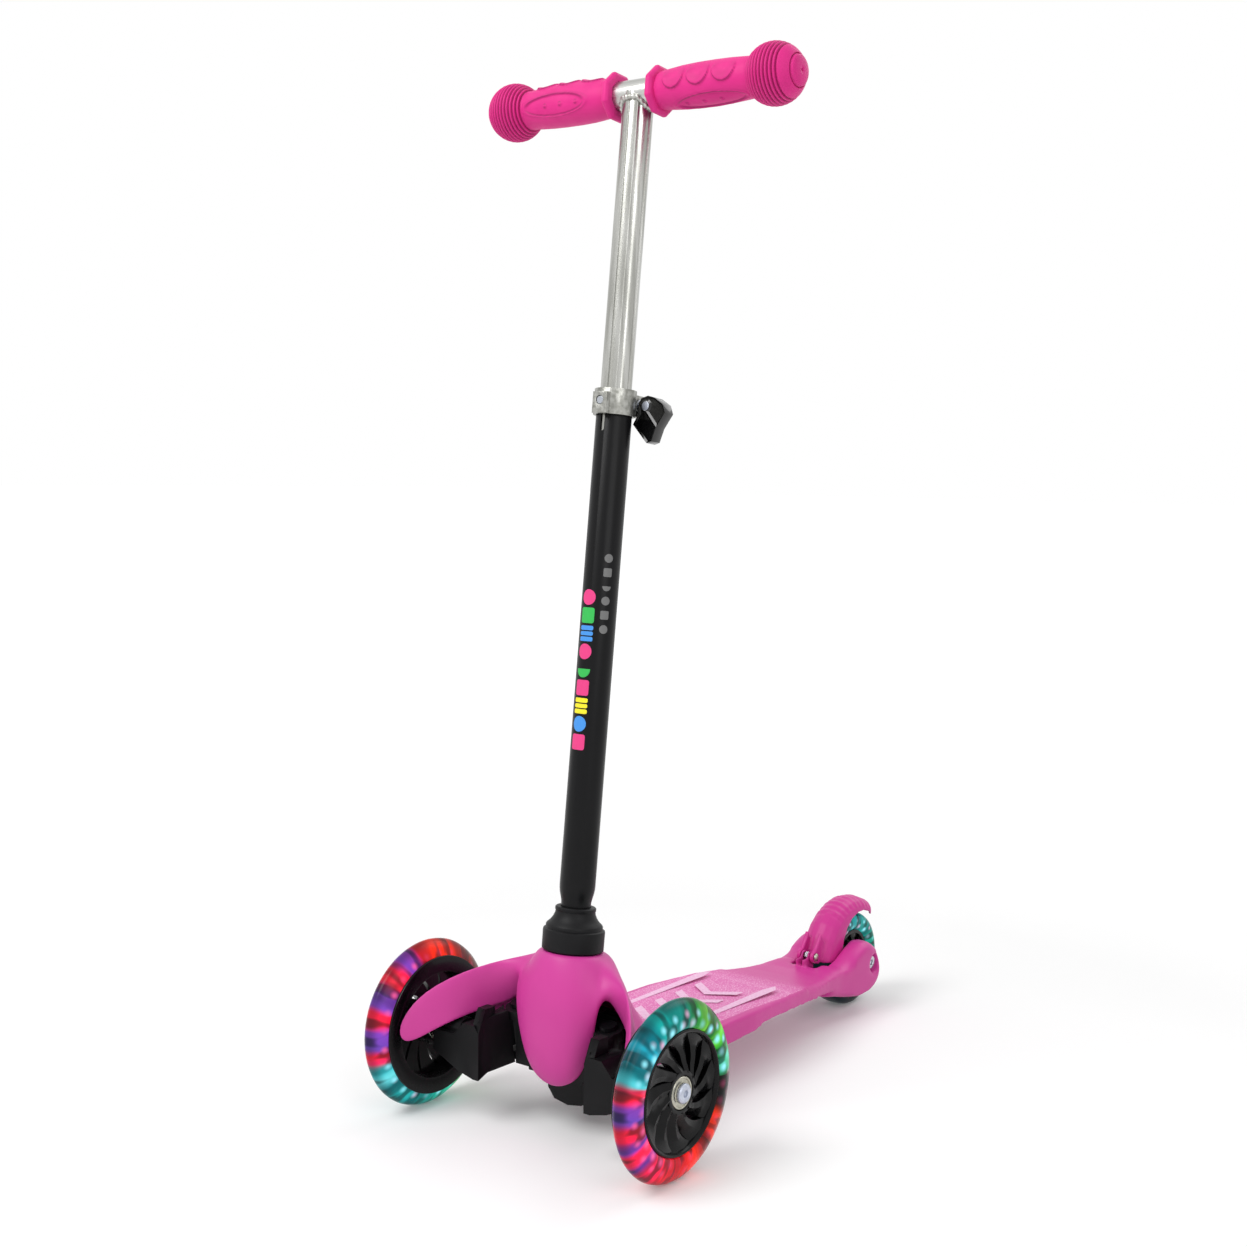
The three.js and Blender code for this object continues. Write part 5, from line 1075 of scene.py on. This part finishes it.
def makeGrip(suffix, side):
    bm = bmesh.new()
    spinProfile(bm, gripProfile(), steps=grip["steps"], closed=False)
    # painted shade: each point gets a share of painted shade, deepest down in the ball's grooves, in the disc's groove
    # and along the relief's edges
    paintedCreaseShade = bm.verts.layers.float.new("paintedCreaseShade")
    first, last = grip["relief"]
    grooveFrom, grooveTo = grip["discGroove"]
    for v in bm.verts:
        reach = math.hypot(v.co.y, v.co.z)
        if v.co.x > grip["endFace"] - grip["discDepth"]:
            v[paintedCreaseShade] = 0.5 if grooveFrom < reach < grooveTo or reach < 1 else 0.0
        elif v.co.x > grip["body"][-1][0]:
            off = grip["ballRadius"] - math.hypot(v.co.x - grip["ballCentre"], reach)
            v[paintedCreaseShade] = held(off / grip["ribDepth"])
        elif first < v.co.x < last:
            angle = math.degrees(math.atan2(v.co.z, -v.co.y))
            begun = smoothStep(first, first + grip["reliefFade"], v.co.x)
            lift, beside = (reliefOf(v.co.x, turn, side) * begun for turn in (angle, angle - grip["creaseShadeStep"]))
            v[paintedCreaseShade] = held(abs(lift - beside) * grip["creaseShadeGain"])
            v.co.y *= 1 + lift / reach
            v.co.z *= 1 + lift / reach
    mouth = [e for e in bm.edges if e.is_boundary]
    inner = bmesh.ops.extrude_edge_only(bm, edges=mouth)["geom"]
    shrink = grip["bore"] / grip["body"][0][1]
    bmesh.ops.scale(bm, vec=(1, shrink, shrink), verts=vertsIn(inner))
    bmesh.ops.holes_fill(bm, edges=edgesIn(inner), sides=0)
    flange = bmesh.new()
    spinProfile(flange, grip["flange"], steps=grip["flangeSides"])
    placed(flange, Matrix.Rotation(math.pi / grip["flangeSides"], 4, "X"))
    bevelSharp(flange, width=0.7, limit=20, segments=3)
    fixNormals(flange)
    moveInto(bm, flange, "flange")
    placed(bm, barMatrix @ Matrix.Scale(side, 4, (1, 0, 0)))
    bmesh.ops.recalc_face_normals(bm, faces=bm.faces[:])
    settle(objectFrom(bm, "grip_" + suffix + "_rubber"), "gripRubber", "grip_" + suffix, sharp=50)


def paintCreaseShade(material, color, share):
    # painted shade: a darker pink is painted down in the grooves and along the edges of the relief, where shade falls
    tree = material.node_tree
    shader = tree.nodes["Principled BSDF"]
    plain = shader.inputs["Base Color"].links[0].from_socket
    shadeFac = addNode(tree, "ShaderNodeAttribute", attribute_name="paintedCreaseShade").outputs["Fac"]
    amount = math2(tree, "MULTIPLY", shadeFac, share, clamp=True)
    feed(tree, shader, {"Base Color": mixColor(tree, amount, plain, tint(color))})


makeGrip("right", 1)
makeGrip("left", -1)
# paints the shade into the grooves and along the relief's edges of both grips
paintCreaseShade(finish["gripRubber"], grip["creaseShadeColor"], grip["creaseShadeShare"])
print("grips made")


lever = {"panels": 5, "panelEdge": 1.5, "panelDepth": 0.9, "round": 0.7}


def makeLever():
    # sunken panels in the lever's large faces leave raised ribs along its edges
    bm = flatSided("quick_lever")
    large = sorted(bm.faces, key=lambda face: face.calc_area())[-lever["panels"]:]
    bmesh.ops.inset_individual(bm, faces=large, thickness=lever["panelEdge"], depth=-lever["panelDepth"],
                               use_even_offset=True)
    bevelSharp(bm, lever["round"], limit=25, segments=3)
    settle(objectFrom(bm, "quick_lever_made"), "leverBlack", "quick_lever", sharp=30)


settle(edgedCopy("height_clamp", width=0.5, segments=3), "clampAluminium", "height_clamp", sharp=30)
makeLever()
print("clamp and lever made")


# Small hardware: (finish, width of its broken edges)
hardware = {
    "guide_screw": ("steelPlated", 0.35),
    "clamp_bolt": ("steelPlated", 0.2),
    "clamp_nut": ("steelPlated", 0.3),
    "cam_washer": ("steelPlated", 0.2),
    "barrel_pin": ("boltHead", 0.4),
    "axle_bolt_right": ("boltHead", 0.4),
    "axle_bolt_left": ("boltHead", 0.4),
    "rear_axle_bolt": ("steelPlated", 0.4),
    "rear_axle_nut": ("steelPlated", 0.4),
    "brake_pin": ("bearingSteel", 0.3),
    "tie_rod": ("steelPlated", 0.3),
}
for node, (look, width) in hardware.items():
    settle(edgedCopy(node, width), look, node, sharp=30)
print("hardware made")


# Plain shapes on the stem: a row of large coloured ones, and a row of small grey ones beside it
marks = {
    "lift": 0.12,
    "from": 145,
    "pitch": 12.5,
    "half": 5.4,
    "shapes": ["block", "disc", "bars", "block", "halfDisc", "disc", "bars", "block", "disc"],
    "colors": ["#e0357f", "#3d8fe0", "#f2e21f", "#e0357f", "#27b24a", "#e0357f", "#3d8fe0", "#27b24a", "#e0357f"],
    "greyFrom": 223.5,
    "greyPitch": 9.8,
    "greyHalf": 3,
    "greyAzimuth": 57,
    "grey": "#6c6c6c",
    "greyShapes": ["disc", "block", "disc", "halfDisc", "block", "disc"],
}


def onTube(bm, azimuth, middle):
    # wraps flat shapes round the tube: x becomes an arc and y runs along the stem
    radius = lowerTube["outer"]
    for v in bm.verts:
        turn = math.radians(azimuth) + v.co.x / radius
        reach = radius + v.co.z
        v.co = Vector((reach * math.sin(turn), -reach * math.cos(turn), middle + v.co.y))


def markShape(kind, half):
    bm = bmesh.new()
    if kind in ("disc", "halfDisc"):
        bmesh.ops.create_circle(bm, cap_ends=True, segments=40, radius=half)
        if kind == "halfDisc":
            bmesh.ops.bisect_plane(bm, geom=everything(bm), plane_co=(0, half * 0.1, 0), plane_no=(0, 1, 0),
                                   clear_outer=True)
    else:
        strips, rounding = ([(-1, 1)], 0.3) if kind == "block" else ([(-1, -0.42), (-0.26, 0.26), (0.42, 1)], 0.2)
        for low, high in strips:
            corners = ((-1, low), (1, low), (1, high), (-1, high))
            bm.faces.new([bm.verts.new((x * half, y * half, 0)) for x, y in corners])
        bmesh.ops.bevel(bm, geom=bm.verts[:], offset=half * rounding, offset_type="OFFSET", segments=4, profile=0.5,
                        affect="VERTICES", material=-1)
    # cut into strips, so that it bends smoothly round the tube
    for i in range(-4, 5):
        bmesh.ops.bisect_plane(bm, geom=everything(bm), plane_co=(i * half * 0.22, 0, 0), plane_no=(1, 0, 0))
    raiseFaces(bm, bm.faces[:], (0, 0, marks["lift"]))
    return bm


def makeMarks():
    byColor = {}
    for i, (kind, color) in enumerate(zip(marks["shapes"], marks["colors"])):
        byColor.setdefault(color, []).append((kind, marks["half"], 0, marks["from"] + i * marks["pitch"]))
    byColor[marks["grey"]] = [
        (kind, marks["greyHalf"], marks["greyAzimuth"], marks["greyFrom"] + i * marks["greyPitch"])
        for i, kind in enumerate(marks["greyShapes"])]
    for number, (color, items) in enumerate(byColor.items()):
        whole = bmesh.new()
        for kind, half, azimuth, middle in items:
            bm = markShape(kind, half)
            onTube(bm, azimuth, middle)
            moveInto(whole, bm, "mark")
        placed(whole, stemMatrix)
        bmesh.ops.recalc_face_normals(whole, faces=whole.faces[:])
        look = printMaterial("markPrint%d" % number, color, color)
        settle(objectFrom(whole, "stem_marks_%d" % number), look, None, sharp=30)


makeMarks()
print("marks made")


# Finishes of the CAD pieces that stay as they are, by the start of their names
carried = {"light_ring": "lightBand", "magnet_sleeve": "steelPlated", "deck_screw": "blackSteel",
           "cover_screw": "blackSteel", "kingpin": "blackSteel", "return_spring": "blackSteel",
           "tie_rod_pin": "blackSteel"}
for name, made in frame["nodes"].items():
    if made.hide_render:
        continue
    look = next((value for key, value in carried.items() if name.startswith(key)), "steelPlated")
    made.data.materials.clear()
    made.data.materials.append(finish[look])
print("carried pieces finished")


# The studio's places and sizes are in metres
studio = {
    "floorColor": "#f2f2f2",
    "floorSize": 30,
    "floorLift": (0.1, 0.6),
    "liftOver": (0.5, 2.6),
    "worldStrength": 0.55,
    "lampSize": 1.3,
    "lampAim": (0, 0, 0.3),
    "lamps": {
        "key_lamp": ((-0.45, -1.5, 1.8), 27),
        "fill_lamp": ((1.6, -0.9, 1.3), 8),
        "back_lamp": ((0.3, 1.4, 1.6), 8),
    },
}


def asBackground(tree):
    # 1 where the camera sees a surface, itself or in metal and glass, so that only the background gets paler
    light = addNode(tree, "ShaderNodeLightPath").outputs
    seen = math2(tree, "MAXIMUM", light["Is Glossy Ray"], light["Is Transmission Ray"])
    return math2(tree, "MAXIMUM", light["Is Camera Ray"], seen)


def makeFloor():
    bm = bmesh.new()
    bmesh.ops.create_grid(bm, x_segments=2, y_segments=2, size=studio["floorSize"])
    floor = objectFrom(bm, "studio_floor")
    made, tree, shader = startMaterial("studioFloor")
    feed(tree, shader, {"Base Color": tint(studio["floorColor"]), "Roughness": 0.9, "Specular IOR Level": 0.0})
    away = addNode(tree, "ShaderNodeVectorMath", {0: objectPlace(tree)}, operation="LENGTH").outputs["Value"]
    amount = mapRange(tree, away, *studio["liftOver"], *studio["floorLift"])
    lift = addNode(tree, "ShaderNodeEmission", {"Strength": times(tree, asBackground(tree), amount)})
    both = addNode(tree, "ShaderNodeAddShader", {0: shader.outputs[0], 1: lift.outputs[0]})
    feed(tree, tree.nodes["Material Output"], {"Surface": both.outputs[0]})
    floor.data.materials.append(made)


def makeWorld():
    world = bpy.data.worlds.new("studio")
    bpy.context.scene.world = world
    world.use_nodes = True
    tree = world.node_tree
    strength = mapRange(tree, asBackground(tree), 0, 1, studio["worldStrength"], 1.0)
    feed(tree, tree.nodes["Background"], {"Color": (1, 1, 1, 1), "Strength": strength})


def addLamp(name, place, power):
    data = bpy.data.lights.new(name, "AREA")
    data.shape = "DISK"
    data.size = studio["lampSize"]
    data.energy = power
    lamp = bpy.data.objects.new(name, data)
    lamp.location = place
    lamp.rotation_mode = "QUATERNION"
    lamp.rotation_quaternion = (Vector(studio["lampAim"]) - Vector(place)).to_track_quat("-Z", "Y")
    bpy.context.scene.collection.objects.link(lamp)


makeFloor()
makeWorld()
for name, (place, power) in studio["lamps"].items():
    addLamp(name, place, power)


# The photograph's camera, as solved from the wheels, the stem and the deck. Its place is in metres
view = {"azimuth": 37.54, "pitch": 5.04, "roll": 0.8, "lens": 49.69, "place": (0.7390, -1.0697, 0.4572)}
azimuth, pitch, roll = (math.radians(view[key]) for key in ("azimuth", "pitch", "roll"))
back = Vector((math.sin(azimuth) * math.cos(pitch), -math.cos(azimuth) * math.cos(pitch), math.sin(pitch)))
level = Vector((math.cos(azimuth), math.sin(azimuth), 0))
right = level * math.cos(roll) + back.cross(level) * math.sin(roll)
cameraMatrix = Matrix((right, back.cross(right), back)).transposed().to_4x4()
cameraMatrix.translation = Vector(view["place"])
cameraData = bpy.data.cameras.new("photo_camera")
cameraData.sensor_width = 36
cameraData.lens = view["lens"]
cameraData.clip_start = 0.01
camera = bpy.data.objects.new("photo_camera", cameraData)
bpy.context.scene.collection.objects.link(camera)
camera.matrix_world = cameraMatrix
bpy.context.scene.camera = camera
bpy.context.scene.view_settings.view_transform = "Standard"
print("stage ready")
